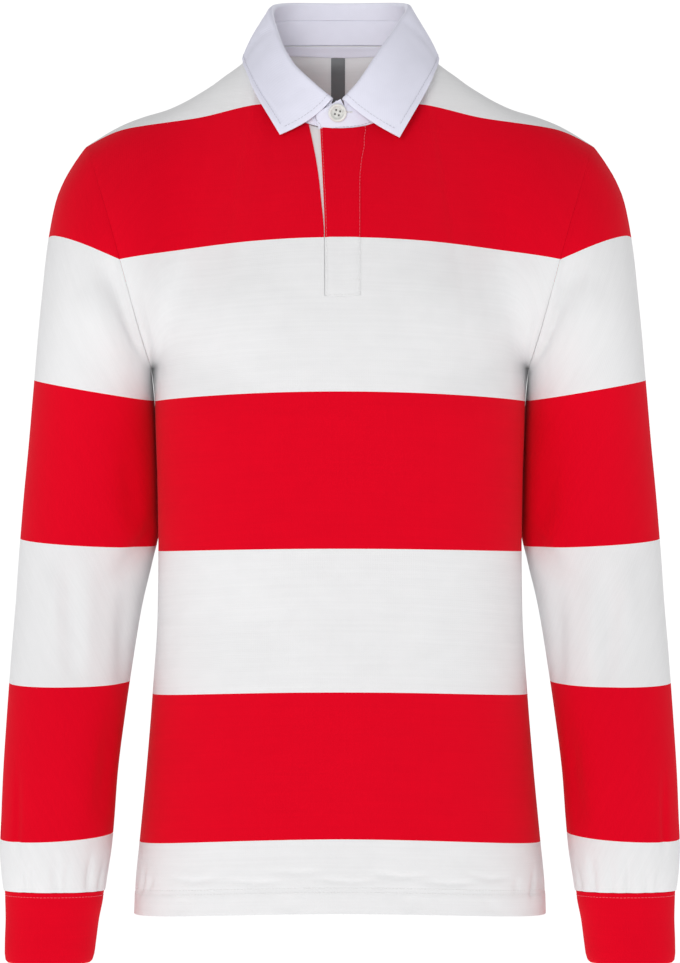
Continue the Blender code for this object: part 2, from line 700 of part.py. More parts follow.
def lap(seam, foot, top_out, top_in, rows, sign):
    """(feet, outer tops, inner tops) of the stand past a throat, from a table of its sections."""
    reach, drop, height, lean = np.array(rows).T
    moved = (foot - at_x(seam, foot[:1])[0]) * [0.0, 1.0, 1.0]
    feet = at_x(seam, sign * reach) + moved
    feet[:, 2] -= drop
    rise = (top_out - foot) * [0.0, 1.0, 1.0]
    outer = feet + rise / rise[2] * height[:, None]
    outer[:, 0] += sign * lean
    return feet, outer, outer + (top_in - top_out) * [0.0, 1.0, 1.0]


def stand_walls(front, back):
    """Outer and inner points of the stand, its lower row on the neck seam and its upper row at the leaf."""
    feet, share, run = neck_loop(front, back)
    from_middle = np.minimum(run, run[-1] + THROAT - run)
    step = LAP_STEP * (1 - ease(from_middle / LAP_FADE)) * np.where(share < 0.5, -1.0, 1.0)
    ahead = np.array([0.0, -1.0, 0.0]) * step[:, None]
    face = leaf_face(feet, share) + ahead
    normal = grid_normals(face, 1)
    feet = feet + ahead
    top_in = face[0] + unit(face[0] - face[1]) * SEAM_GAP
    top_out = top_in - normal[0] * TWILL
    seam = front[-1, SHOULDER_CELLS:-SHOULDER_CELLS]
    under = lap(seam, feet[0], top_out[0], top_in[0], LAP_UNDER, 1.0)
    over = lap(seam, feet[-1], top_out[-1], top_in[-1], LAP_OVER, -1.0)
    feet = np.concatenate([under[0][::-1], feet, over[0]])
    top_out = np.concatenate([under[1][::-1], top_out, over[1]])
    top_in = np.concatenate([under[2][::-1], top_in, over[2]])
    feet = feet + unit(top_out - feet) * SEAM_GAP
    around = unit(np.gradient(feet, axis=0))
    inward = unit(np.cross(around, top_out - feet))
    feet_in = feet + inward * TWILL
    outer = np.array([feet, (feet + top_out) / 2, top_out])
    inner = np.array([feet_in, (feet_in + top_in) / 2, top_in])
    return outer, inner, face, normal


# ---------------------------------------------------------------- solids


def pulled_back(points, rows=(), columns=(), by=HALF_GAP):
    """Grid points with the named edge rows and columns drawn in from their seams."""
    moved = points.copy()
    for row, neighbour in rows:
        moved[row] += unit(points[neighbour] - points[row]) * by
    for col, neighbour in columns:
        moved[:, col] += unit(points[:, neighbour] - points[:, col]) * by
    return moved


def wall(name, outer, inner, material, wrap=False, left_out=None, flip=False):
    """One closed cloth wall between two grids of points. left_out marks cells that are open."""
    rows, cols = outer.shape[:2]
    across = cols if wrap else cols - 1
    kept = np.ones((rows - 1, across), bool)
    if left_out is not None:
        kept &= ~left_out
    vertices = np.concatenate([outer.reshape(-1, 3), inner.reshape(-1, 3)]) * MM
    back = rows * cols

    def index(row, col):
        return row * cols + col % cols

    def is_kept(row, col):
        if wrap:
            col %= across
        return 0 <= row < rows - 1 and 0 <= col < across and kept[row, col]

    faces = []
    for row in range(rows - 1):
        for col in range(across):
            if not kept[row, col]:
                continue
            a, b = index(row, col), index(row, col + 1)
            c, d = index(row + 1, col + 1), index(row + 1, col)
            faces.append((a, b, c, d))
            faces.append((d + back, c + back, b + back, a + back))
            rims = (
                ((a, b), (row - 1, col)),
                ((b, c), (row, col + 1)),
                ((c, d), (row + 1, col)),
                ((d, a), (row, col - 1)),
            )
            for (start, end), beside in rims:
                if not is_kept(*beside):
                    faces.append((end, start, start + back, end + back))
    if flip:
        faces = [face[::-1] for face in faces]
    used = sorted({corner for face in faces for corner in face})
    place = {corner: k for k, corner in enumerate(used)}
    mesh = bpy.data.meshes.new(name)
    mesh.from_pydata(vertices[used].tolist(), [], [tuple(place[c] for c in face) for face in faces])
    mesh.shade_smooth()
    mesh.set_sharp_from_angle(angle=math.radians(50))
    return add(name, mesh, material)


def material_named(name):
    found = bpy.data.materials.get(name)
    if found:
        return found
    colour, roughness = COLOURS[name]
    made = bpy.data.materials.new(name)
    made.use_nodes = True
    shader = made.node_tree.nodes["Principled BSDF"]
    shader.inputs["Base Color"].default_value = colour
    shader.inputs["Roughness"].default_value = roughness
    shader.inputs["Metallic"].default_value = 0.0
    return made


def add(name, mesh, material):
    made = bpy.data.objects.new(name, mesh)
    made.data.materials.append(material_named(material))
    bpy.data.collections[COLLECTION].objects.link(made)
    return made


def mirrored(points):
    return points * [-1.0, 1.0, 1.0]


def make_body():
    """Front, back and both sleeves, whose walls share their edges' offsets at the seams."""
    front, front_normals = panel_grid(FRONT, front_columns)
    back, back_normals = panel_grid(BACK, back_columns)
    chest = len(RING_LEVELS) - 1
    arm = chest + 2  # the underarm's row
    ring = np.concatenate([front[arm:, -1], back[arm + 1 : -1, -1][::-1]])
    sleeve, sleeve_normals = sleeve_grid(ring)
    count, tip = len(ring), len(front) - 1 - arm

    front_out, back_out, sleeve_out = front_normals.copy(), back_normals.copy(), sleeve_normals.copy()
    for col in (0, -1):
        shared = mitre(front_normals[: arm + 1, col], back_normals[: arm + 1, col])
        front_out[: arm + 1, col] = back_out[: arm + 1, col] = shared
    last = SHOULDER_CELLS + 1
    for span in (slice(0, last), slice(-last, None)):
        shared = mitre(front_normals[-1, span], back_normals[-1, span])
        front_out[-1, span] = back_out[-1, span] = shared
    for k in range(count):
        if k == 0:
            meeting = (front_normals[arm, -1], back_normals[arm, -1], sleeve_normals[0, 0])
        elif k < tip:
            meeting = (front_normals[arm + k, -1], sleeve_normals[0, k])
        elif k == tip:
            meeting = (front_normals[-1, -1], back_normals[-1, -1], sleeve_normals[0, k])
        else:
            meeting = (back_normals[arm + count - k, -1], sleeve_normals[0, k])
        shared = mitre(*meeting)
        sleeve_out[0, k] = shared
        if k <= tip:
            front_out[arm + k, -1] = shared
            front_out[arm + k, 0] = mirrored(shared)
        if k == 0 or k >= tip:
            row = arm if k == 0 else arm + count - k
            back_out[row, -1] = shared
            back_out[row, 0] = mirrored(shared)

    levels = np.array(RING_LEVELS + (0.0,) * (len(front) - len(RING_LEVELS)))
    thickness = JERSEY + HEM_EXTRA * (levels < HEM_LEVEL + HEM_HEIGHT + 0.5)
    thickness[len(RING_LEVELS) :] = JERSEY
    vent = np.clip((VENT_TOP - levels) / (VENT_TOP - HEM_LEVEL), 0, 1) * (levels < VENT_TOP)
    slit_row = len(front) - 1 - ROWS_ABOVE_SLIT
    slit_col = SHOULDER_CELLS + NECK_CELLS
    for name, points, offset in (("front", front, front_out), ("back", back, back_out)):
        moved = pulled_back(points, rows=((-1, -2),), columns=((0, 1), (-1, -2)))
        for col, neighbour in ((0, 1), (-1, -2)):
            moved[:, col] += unit(points[:, neighbour] - points[:, col]) * (VENT_GAPE / 2 * vent)[:, None]
        inner = moved - offset * thickness[:, None, None]
        left_out = None
        if name == "front":
            left_out = np.zeros((len(points) - 1, points.shape[1] - 1), bool)
            left_out[slit_row:, slit_col : slit_col + SLIT_CELLS] = True
        wall(name, moved, inner, "red_and_white_jersey", left_out=left_out, flip=name == "back")
    back_inner = inner

    moved = pulled_back(sleeve, rows=((0, 1), (-1, -2)))
    inner = moved - sleeve_out * JERSEY
    wall("sleeve_left", moved, inner, "red_and_white_jersey", wrap=True, flip=True)
    wall("sleeve_right", mirrored(moved), mirrored(inner), "red_and_white_jersey", wrap=True)
    cuff, cuff_normals = cuff_grid(count)
    inner = cuff - cuff_normals * CUFF_CLOTH
    wall("cuff_left", cuff, inner, "red_jersey", wrap=True, flip=True)
    wall("cuff_right", mirrored(cuff), mirrored(inner), "red_jersey", wrap=True)
    return front, front_normals, back, back_inner


def strip(line, normals, x):
    """(points, outward directions without any sideways part) of a row of a panel at the given x."""
    facing = at_x(np.column_stack([line[:, 0], normals[:, 1:]]), x) * [0.0, 1.0, 1.0]
    return at_x(line, x), unit(facing)


def make_placket(front, normals):
    """The fly that fills the slit, on the front's own rows, and the underlay behind it."""
    slit_row = len(front) - 1 - ROWS_ABOVE_SLIT
    slit = slice(SHOULDER_CELLS + NECK_CELLS, SHOULDER_CELLS + NECK_CELLS + SLIT_CELLS + 1)
    fly, under = [], []
    for line, facing in zip(front[slit_row:], normals[slit_row:]):
        z = line[slit, 2].mean()
        ends = column(FLY_LEFT, 1, z) + HALF_GAP, column(SLIT_RIGHT, 1, z) - HALF_GAP
        fly.append(strip(line, facing, np.linspace(*ends, SLIT_CELLS + 1)))
        edges = line[slit, 0]
        wide = [edges[0] - UNDERLAY_SPARE[0], *edges, edges[-1] + UNDERLAY_SPARE[1]]
        under.append(strip(line, facing, wide))
    points, facing = (np.array(part) for part in zip(*fly))
    points = pulled_back(points, rows=((0, 1),), by=SEAM_GAP)
    points = pulled_back(points, rows=((-1, -2),), by=np.array(FLY_SHORT)[:, None])
    outer = points + facing * FLY_PROUD
    wall("placket_top", outer, outer - facing * FLY_CLOTH, "red_and_white_jersey")

    points, facing = (np.array(part) for part in zip(*under))
    step = points[0] - front[slit_row - 1, front.shape[1] // 2]
    tail = UNDERLAY_TAIL / np.linalg.norm(step[len(step) // 2])
    below = at_x(front[slit_row - 1], points[0][:, 0])
    points = np.concatenate([[points[0] * (1 - tail) + below * tail], points])
    facing = np.concatenate([facing[:1], facing])
    points = pulled_back(points, rows=((-1, -2),), by=SEAM_GAP)
    outer = points - facing * UNDERLAY_DEPTH
    wall("placket_under", outer, outer - facing * UNDERLAY_CLOTH, "white_jersey")


def make_collar(front, back):
    outer, inner, face, normals = stand_walls(front, back)
    wall("collar_stand", outer, inner, "white_twill", flip=True)
    wall("collar_leaf", face, face - normals * TWILL, "white_twill")
    return outer


def make_neck_inside(inner):
    """The tape over the back neck seam, and the bare label that hangs from it, on the back's inner face."""
    neck = slice(SHOULDER_CELLS + TAPE_SHORT, -SHOULDER_CELLS - TAPE_SHORT)
    inside = inner[:, neck]
    facing = grid_normals(inner, 1)[-1, neck]
    tape = below_top(inside, [TAPE_TOP + TAPE_WIDTH, TAPE_TOP]) + facing * TAPE_GAP
    wall("neck_tape", tape + facing * TAPE_CLOTH, tape, "white_twill")

    start = TAPE_TOP + TAPE_WIDTH + SEAM_GAP
    rows = below_top(inside, with_own_rows(inside, start, start + LABEL_LENGTH)[::-1])
    ends = LABEL_MIDDLE - LABEL_WIDTH / 2, LABEL_MIDDLE + LABEL_WIDTH / 2
    label = np.array([at_x(row, [ends[0], 0.0, ends[1]]) for row in rows])
    toward = grid_normals(label, 1)
    label = label + toward * TAPE_GAP
    wall("neck_label", label + toward * LABEL_CLOTH, label, "grey_satin")


def cylinder_tool(name, radius, height, place):
    bpy.ops.mesh.primitive_cylinder_add(vertices=10, radius=radius * MM, depth=height * MM, location=place)
    made = bpy.context.object
    made.name = name
    made.hide_render = True
    made.display_type = "WIRE"
    for holder in list(made.users_collection):
        holder.objects.unlink(made)
    bpy.data.collections["cutters"].objects.link(made)
    return made


def button_seat(stand):
    """Where the button's middle lies on the stand's outer points, and the way that it faces."""
    x, z = BUTTON_MIDDLE
    end = stand[:, -len(LAP_OVER) - 4 :]
    rows = np.linspace(0.0, len(end) - 1.001, 40)
    cols = np.linspace(0.0, end.shape[1] - 1.001, 80)
    row, col = rows.astype(int)[:, None], cols.astype(int)[None, :]
    up, over = (rows[:, None] - row)[..., None], (cols[None, :] - col)[..., None]
    low = end[row, col] * (1 - over) + end[row, col + 1] * over
    high = end[row + 1, col] * (1 - over) + end[row + 1, col + 1] * over
    dense = (low * (1 - up) + high * up).reshape(-1, 3)
    near = np.hypot(dense[:, 0] - x, dense[:, 2] - z) < BUTTON_RADIUS
    middle = dense[near].mean(axis=0)
    spread = np.linalg.svd(dense[near] - middle, full_matrices=False)[2]
    facing = spread[2] * -np.sign(spread[2][1])
    height = ((dense[near] - middle) @ facing).max()
    across = np.array([x, 0.0, z]) - middle
    across[1] = -(across[0] * facing[0] + across[2] * facing[2]) / facing[1]
    return middle + across + facing * height, facing


def make_button(stand):
    """A turned button with a raised rim and four holes, flat on the stand's upper end."""
    mesh = bpy.data.meshes.new("button")
    profile = [(radius * MM, 0.0, height * MM) for radius, height in BUTTON_PROFILE]
    mesh.from_pydata(profile, [(k, k + 1) for k in range(len(profile) - 1)], [])
    button = add("button", mesh, "white_resin")
    screw = button.modifiers.new("turn", "SCREW")
    screw.steps = screw.render_steps = 28
    screw.use_merge_vertices = True
    screw.merge_threshold = 0.00001
    screw.use_smooth_shade = True
    for k in range(4):
        turn = BUTTON_TURN + k * math.pi / 2
        reach = BUTTON_HOLE_PITCH * math.sqrt(2) * MM
        place = (reach * math.cos(turn), reach * math.sin(turn), 0.0)
        tool = cylinder_tool(f"button_hole_{k}", BUTTON_HOLE_RADIUS, 12.0, place)
        tool.parent = button
        cut = button.modifiers.new(f"hole_{k}", "BOOLEAN")
        cut.operation = "DIFFERENCE"
        cut.object = tool
    place, tilt = button_seat(stand)
    button.location = place * MM
    button.rotation_euler = (math.acos(tilt[2]), 0.0, math.atan2(tilt[0], -tilt[1]))


def clear_scene():
    for old in list(bpy.data.objects):
        bpy.data.objects.remove(old, do_unlink=True)
    for name in (COLLECTION, "cutters"):
        made = bpy.data.collections.new(name)
        bpy.context.scene.collection.children.link(made)


clear_scene()
FRONT = Panel(-1)
BACK = Panel(1)
front_points, front_facing, back_points, back_inner = make_body()
make_placket(front_points, front_facing)
stand_outer = make_collar(front_points, back_points)
make_neck_inside(back_inner)
make_button(stand_outer)
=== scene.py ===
"""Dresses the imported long-sleeve polo shirt in cloth: jersey panels, twill collar, sewing and studio.

Sizes in the tables are in millimetres, and a mesh gets metres. They are the CAD model's own sizes, so each
piece lies on its solid. The wearer's left is +X, and the shirt faces -Y.
"""

import math
from functools import lru_cache

import bpy
import numpy as np
from bpy.props import FloatProperty, FloatVectorProperty, PointerProperty
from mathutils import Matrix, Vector


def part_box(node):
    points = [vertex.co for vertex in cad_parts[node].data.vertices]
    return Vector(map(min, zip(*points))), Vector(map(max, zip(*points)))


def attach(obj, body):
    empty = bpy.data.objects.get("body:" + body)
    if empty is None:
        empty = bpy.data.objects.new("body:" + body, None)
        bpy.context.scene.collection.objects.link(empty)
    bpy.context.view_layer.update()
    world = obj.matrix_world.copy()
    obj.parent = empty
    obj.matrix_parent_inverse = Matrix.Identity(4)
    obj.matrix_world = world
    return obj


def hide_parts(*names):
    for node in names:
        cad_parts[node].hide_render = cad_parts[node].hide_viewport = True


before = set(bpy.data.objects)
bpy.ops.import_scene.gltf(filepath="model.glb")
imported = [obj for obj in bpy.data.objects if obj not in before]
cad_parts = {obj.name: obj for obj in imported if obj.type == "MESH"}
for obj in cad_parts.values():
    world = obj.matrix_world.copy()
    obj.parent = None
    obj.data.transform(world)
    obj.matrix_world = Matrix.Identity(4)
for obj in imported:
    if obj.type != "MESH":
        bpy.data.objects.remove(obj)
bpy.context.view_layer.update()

bl_info = {
    "name": "Long-Sleeve Polo Shirt",
    "version": (1, 0, 0),
    "blender": (4, 5, 0),
    "location": "3D View > Sidebar > Shirt",
    "description": "Builds the cloth, sewing and studio of a long-sleeve polo shirt",
    "category": "Object",
}

MM = 0.001
UP = np.array([0.0, 0.0, 1.0])

# ---------------------------------------------------------------- sizes shared with the solids

SIDE_SEAM_Y = 5.0
TORSO_SQUARENESS = 2.35
HEM_LEVEL = -724.0
HEM_FOLD = -705.0  # the hem is turned up to here
CHEST_LEVEL = -310.0
VENT_TOP = -694.0  # the side seams open below here
VENT_GAPE = 1.6
TORSO = (  # level at the side seam, half width, front depth, back depth, rise of the front's middle
    (-724.0, 174.6, 118.0, 112.0, 8.0), (-700.0, 173.8, 117.5, 111.5, 8.2),
    (-663.0, 170.3, 116.5, 110.0, 8.4), (-600.0, 164.3, 114.0, 107.0, 7.0),
    (-537.0, 159.2, 111.5, 103.5, 5.6), (-470.0, 155.0, 110.5, 99.5, 4.0),
    (-417.0, 154.4, 110.8, 98.5, 3.4), (-360.0, 155.2, 112.0, 101.0, 4.2),
    (-310.0, 156.8, 114.0, 104.5, 5.4), (-280.0, 157.6, 115.0, 106.5, 6.0),
)
UNDERARM = (161.2, 16.0, -262.0)
SHOULDER_TIP = (215.5, 0.0, -73.5)
SIDE_SEAM_TOP = ((157.6, 7.5, -290.0), (159.2, 11.5, -274.0))  # x, y, z on the way up to the underarm
ARMHOLE_FRONT = (  # x, y, z
    (160.6, -9.0, -260.0), (162.8, -30.0, -252.0), (168.8, -48.0, -231.0), (174.8, -58.0, -208.5),
    (184.5, -62.5, -172.0), (193.5, -58.0, -140.0), (203.0, -45.0, -109.0), (211.0, -25.0, -83.5),
)
ARMHOLE_BACK = (  # x, y, z
    (163.5, 38.0, -254.0), (170.5, 56.0, -229.0), (179.5, 64.5, -190.0), (190.0, 62.5, -150.0),
    (200.5, 51.0, -114.0), (210.5, 28.0, -84.0),
)
NECK_POINT = (70.5, -6.0, 7.5)
SHOULDER = (  # x, z from the neck point out to the tip
    (70.5, 7.5), (78.0, 1.4), (84.0, -4.0), (91.0, -9.2), (99.0, -14.8), (107.0, -20.8), (118.0, -27.8),
    (130.0, -34.8), (145.0, -41.8), (168.0, -48.8), (184.0, -55.0), (197.0, -61.8), (207.0, -68.0),
    (215.5, -73.5),
)
NECK_FRONT = (  # x, y, z from the middle of the front to the neck point
    (0.0, -68.0, -62.4), (17.0, -66.8, -61.0), (31.0, -62.5, -56.5), (48.0, -50.0, -43.0),
    (62.0, -28.0, -18.0),
    NECK_POINT,
)
NECK_BACK = (  # x, y, z from the middle of the back to the neck point
    (0.0, 62.0, 17.4), (30.0, 56.5, 17.0), (53.0, 38.0, 15.4), (66.0, 14.0, 12.0),
    NECK_POINT,
)
NECK_SHARE = 0.5  # share of a half panel's top edge that is neck seam
YOKE_FRONT = (  # share of the half panel, pull at the chest, then the way in to the top edge and its pull
    (0.00, 240.0, 0.0, 0.48, 0.88, 235.0), (0.25, 240.0, 0.0, 0.60, 0.78, 225.0),
    (0.42, 240.0, 0.0, 0.85, 0.50, 190.0), (0.50, 240.0, 0.0, 0.97, 0.22, 165.0),
    (0.75, 215.0, 0.0, 0.99, 0.12, 150.0), (1.00, 200.0, 0.0, 0.99, 0.10, 140.0),
)
YOKE_BACK = (
    (0.00, 310.0, 0.0, -0.50, 0.87, 290.0), (0.25, 310.0, 0.0, -0.62, 0.78, 260.0),
    (0.42, 300.0, 0.0, -0.88, 0.40, 215.0), (0.50, 290.0, 0.0, -0.99, -0.12, 190.0),
    (0.75, 240.0, 0.0, -0.99, -0.12, 160.0), (1.00, 200.0, 0.0, -0.99, -0.10, 140.0),
)
EDGE_REACH = 0.45  # share of a half panel that is drawn to the armhole

CAP_LEVEL = -312.0
SLEEVE_SQUARENESS = 2.1
SLEEVE = (  # level, inner x, outer x, middle y, depth
    (-300.0, 157.2, 263.2, 20.0, 128.0), (-330.0, 156.0, 266.0, 22.5, 124.0),
    (-365.0, 154.9, 269.5, 24.0, 119.5), (-398.0, 154.5, 272.3, 24.0, 115.5),
    (-425.0, 159.8, 274.3, 22.0, 112.5), (-463.0, 168.6, 276.6, 17.0, 108.5),
    (-502.0, 175.0, 279.5, 10.0, 105.0), (-552.0, 182.0, 282.6, -1.0, 100.0),
    (-604.0, 188.3, 285.5, -9.5, 95.0), (-642.0, 191.0, 286.9, -13.0, 91.5),
    (-667.0, 193.2, 287.8, -15.5, 88.5), (-688.0, 196.3, 286.6, -17.5, 84.0),
    (-703.4, 198.6, 284.6, -18.5, 76.0),
)
SLEEVE_END = -703.4
SHOULDER_OUTLINE = (  # height, x of the sleeve's outer edge from the tip down
    (-73.5, 215.5), (-78.0, 219.0), (-88.0, 226.0), (-102.0, 234.3), (-119.0, 241.3), (-141.0, 246.2),
    (-167.0, 250.2), (-196.0, 253.4), (-230.0, 257.0), (-264.0, 260.0), (-312.0, 264.3),
)
SLEEVE_HEAD = (  # share of the way round from the underarm, way out of the armhole, pulls at both ends
    (0.000, -0.20, 0.28, -0.94, 16.0, 48.0), (0.060, 0.57, -0.20, -0.80, 30.0, 52.0),
    (0.140, 0.68, -0.42, -0.60, 68.0, 76.0), (0.250, 0.88, -0.16, -0.45, 115.0, 145.0),
    (0.375, 0.83, -0.08, -0.55, 165.0, 190.0), (0.500, 0.76, 0.00, -0.65, 190.0, 225.0),
)
SLEEVE_GIRTH = 340.0  # for the creases' widths
CUFF = (  # level, inner x, outer x, middle y, depth
    (-703.7, 199.6, 283.6, -18.7, 73.0), (-712.0, 200.6, 283.2, -19.3, 71.5),
    (-728.0, 203.8, 282.8, -20.6, 69.0), (-745.0, 206.0, 283.3, -22.0, 67.0),
    (-757.0, 207.6, 283.4, -23.0, 65.5), (-761.8, 209.2, 282.6, -23.4, 64.0),
    (-763.8, 211.2, 280.8, -23.6, 61.5),
)

SLIT_BOTTOM = -204.8
SLIT_LEFT = ((-204.8, -12.9), (-155.0, -13.3), (-120.0, -16.2), (-96.0, -19.3), (-59.0, -26.8))  # z, x
SLIT_RIGHT = ((-204.8, 17.4), (-110.0, 17.4), (-85.0, 20.0), (-59.0, 22.3))  # z, x
FLY_LEFT = ((-204.8, -12.2), (-155.0, -12.6), (-59.0, -16.8))  # z, x
FLY_PROUD = 0.9  # over the front's face
FLY_CLOTH = 1.9  # the fly's thickness

THROAT = 6.0  # the neck seam's two ends are this far from the middle
COLLAR = (  # share of the way round the neck seam, roll line x y z, leaf edge x y z, the roll's own fall
    (0.013, -5.6, -70.5, -37.4, -50.2, -76.5, -67.8, 5.0),
    (0.054, -22.1, -64.5, -23.4, -58.6, -71.0, -53.8, 6.0),
    (0.113, -39.9, -50.0, -4.7, -69.0, -57.0, -36.0, 8.0),
    (0.188, -51.0, -26.0, 18.5, -77.6, -40.5, -16.5, 9.5),
    (0.289, -57.2, 6.0, 43.0, -83.6, -3.0, 0.9, 11.5), (0.334, -54.5, 26.0, 49.5, -80.5, 30.0, 4.5, 12.0),
    (0.415, -36.0, 56.5, 53.8, -58.0, 65.0, 8.0, 12.3), (0.500, 0.0, 70.0, 54.6, 0.0, 80.0, 9.0, 12.5),
    (0.585, 36.0, 56.5, 53.8, 58.0, 65.0, 8.0, 12.3), (0.666, 54.5, 26.0, 50.5, 81.5, 30.0, 4.5, 12.0),
    (0.711, 56.8, 7.0, 46.0, 84.8, -3.0, 1.0, 11.5), (0.812, 46.5, -24.0, 26.5, 79.4, -39.0, -15.0, 9.5),
    (0.887, 30.5, -54.0, 1.0, 71.0, -56.5, -33.0, 8.0),
    (0.946, 14.2, -67.8, -24.0, 59.4, -71.5, -53.5, 6.0),
    (0.987, 1.5, -71.5, -37.8, 49.8, -77.0, -70.3, 5.0),
)
ROLL_RADIUS = 2.9  # of the collar's fold
LEAF_BELLY = 0.45  # how far the leaf bows out, as a share of its length
LAP_STEP, LAP_FADE = 1.0, 45.0  # how far the lapping ends part, and how soon that fades
LAP_DENSITY = 4  # columns for each row of the two tables below
LAP_OVER = (  # foot's distance past the middle and drop, height over the foot, lean outward at the top
    (-0.5, 0.3, 24.5, 0.0), (5.0, 1.1, 22.0, 0.4), (10.0, 1.7, 18.8, 0.8), (14.0, 2.0, 16.2, 1.5),
    (16.6, 2.2, 14.4, 2.2), (17.7, 2.2, 12.4, 2.5), (18.0, 2.2, 9.8, 2.4),
)
LAP_UNDER = (  # the same for the lower end
    (-3.5, 0.0, 23.0, 0.0), (0.5, 0.0, 22.0, 0.2), (5.0, 0.0, 17.0, 0.4), (10.0, 0.0, 15.0, 0.8),
    (13.5, 0.0, 13.0, 1.2), (14.8, 0.0, 10.0, 1.4),
)

# ---------------------------------------------------------------- the cloth's stripes, creases and sewing

STRIPE_EDGES = (  # half width, height at the side, rise of the front's middle, rise of the back's middle
    (215.5, -73.5, 37.0, 12.0), (185.0, -171.8, 16.7, 5.0), (157.2, -290.0, 6.6, 1.0),
    (154.4, -417.0, 3.2, 0.0), (159.3, -538.0, 5.3, 0.0), (170.3, -663.0, 8.6, 0.0),
)
YOKE_EDGE = (  # |x|, height of the topmost stripe edge on the front
    (0.0, -36.5), (68.0, -40.9), (119.0, -51.0), (149.0, -54.9), (178.0, -58.9), (190.0, -61.8),
    (203.0, -67.2), (215.5, -73.5),
)
STRIPE_BLEND = 36.0  # only to find the edges between the grid's points: the dyed edge itself is sharp
SLEEVE_STRIPE_EDGES = (  # height where x and y are 0, slope along x, slope along y
    (-261.7, 0.4497, -0.108), (-316.7, 0.1713, 0.032), (-421.7, 0.0513, 0.060), (-525.1, -0.0128, 0.0655),
    (-643.1, -0.0537, 0.0714),
)

# Creases. A row is: the points that it runs through, half width, depth (a ridge below zero), and how much
# sharper its far side is. On the body a point is x and height, at the hem it is the way from the middle and
# the level. On a sleeve or cuff it is the way round from the inner side over the front, and the height.
FRONT_CREASES = (
    (((-177, -190), (-167, -222), (-150, -246), (-127, -257), (-100, -267), (-62, -273)), 24.0, 5.2, 1.0),
    (((177, -186), (168, -218), (152, -243), (130, -256), (98, -268), (66, -275)), 23.0, 5.0, 1.0),
    (((-126, -200), (-88, -208), (-48, -226)), 34.0, -4.4, 1.0),
    (((124, -202), (84, -210), (50, -224)), 32.0, -4.0, 1.0),
    (((-36, -515), (12, -522), (40, -516)), 55.0, -3.2, 1.0),
    (((-120, -452), (-84, -478), (-46, -486)), 30.0, 3.0, 1.0),
    (((-44, -640), (4, -652), (52, -642)), 30.0, 2.0, 1.0),
)
BACK_CREASES = (
    (((-172, -190), (-150, -238), (-118, -272), (-84, -300)), 17.0, 4.76, 1.3),
    (((174, -184), (154, -232), (120, -270), (92, -292)), 18.0, 4.42, 1.3),
    (((-120, -170), (-70, -190), (-20, -186)), 36.0, -2.72, 1.0),
    (((-90, -455), (-30, -492), (40, -505)), 24.0, 3.74, 1.1),
    (((118, -440), (78, -478), (22, -488)), 20.0, 3.06, 1.2),
    (((-110, -590), (-60, -612), (0, -608)), 26.0, 2.38, 1.0),
)
HEM_DRAGS_FRONT = (
    (((-192, -684), (-196, -697), (-203, -709)), 4.0, 2.88, 1.3),
    (((-176, -690), (-182, -704)), 3.4, 1.92, 1.3),
    (((-150, -691), (-128, -695), (-104, -693)), 2.4, 1.44, 1.4),
    (((-96, -694), (-72, -698), (-46, -696)), 2.2, 1.28, 1.4),
    (((-60, -688), (-34, -690), (-16, -689)), 2.6, 0.96, 1.2),
    (((-20, -695), (8, -698), (30, -696)), 2.2, 1.28, 1.4),
    (((26, -690), (52, -693), (74, -691)), 2.4, 1.28, 1.3),
    (((70, -696), (96, -698), (118, -695)), 2.2, 1.44, 1.4),
    (((108, -689), (130, -693), (152, -691)), 2.6, 1.28, 1.3),
    (((163, -692), (158, -706)), 4.0, 1.6, 1.2),
    (((190, -685), (186, -698), (180, -710)), 4.0, 2.88, 1.3),
    (((-140, -708), (-136, -722)), 7.0, 0.96, 1.0),
    (((-40, -709), (-44, -722)), 8.0, 0.96, 1.0),
    (((58, -708), (63, -722)), 7.0, 1.12, 1.0),
    (((132, -709), (128, -722)), 7.0, 0.96, 1.0),
)
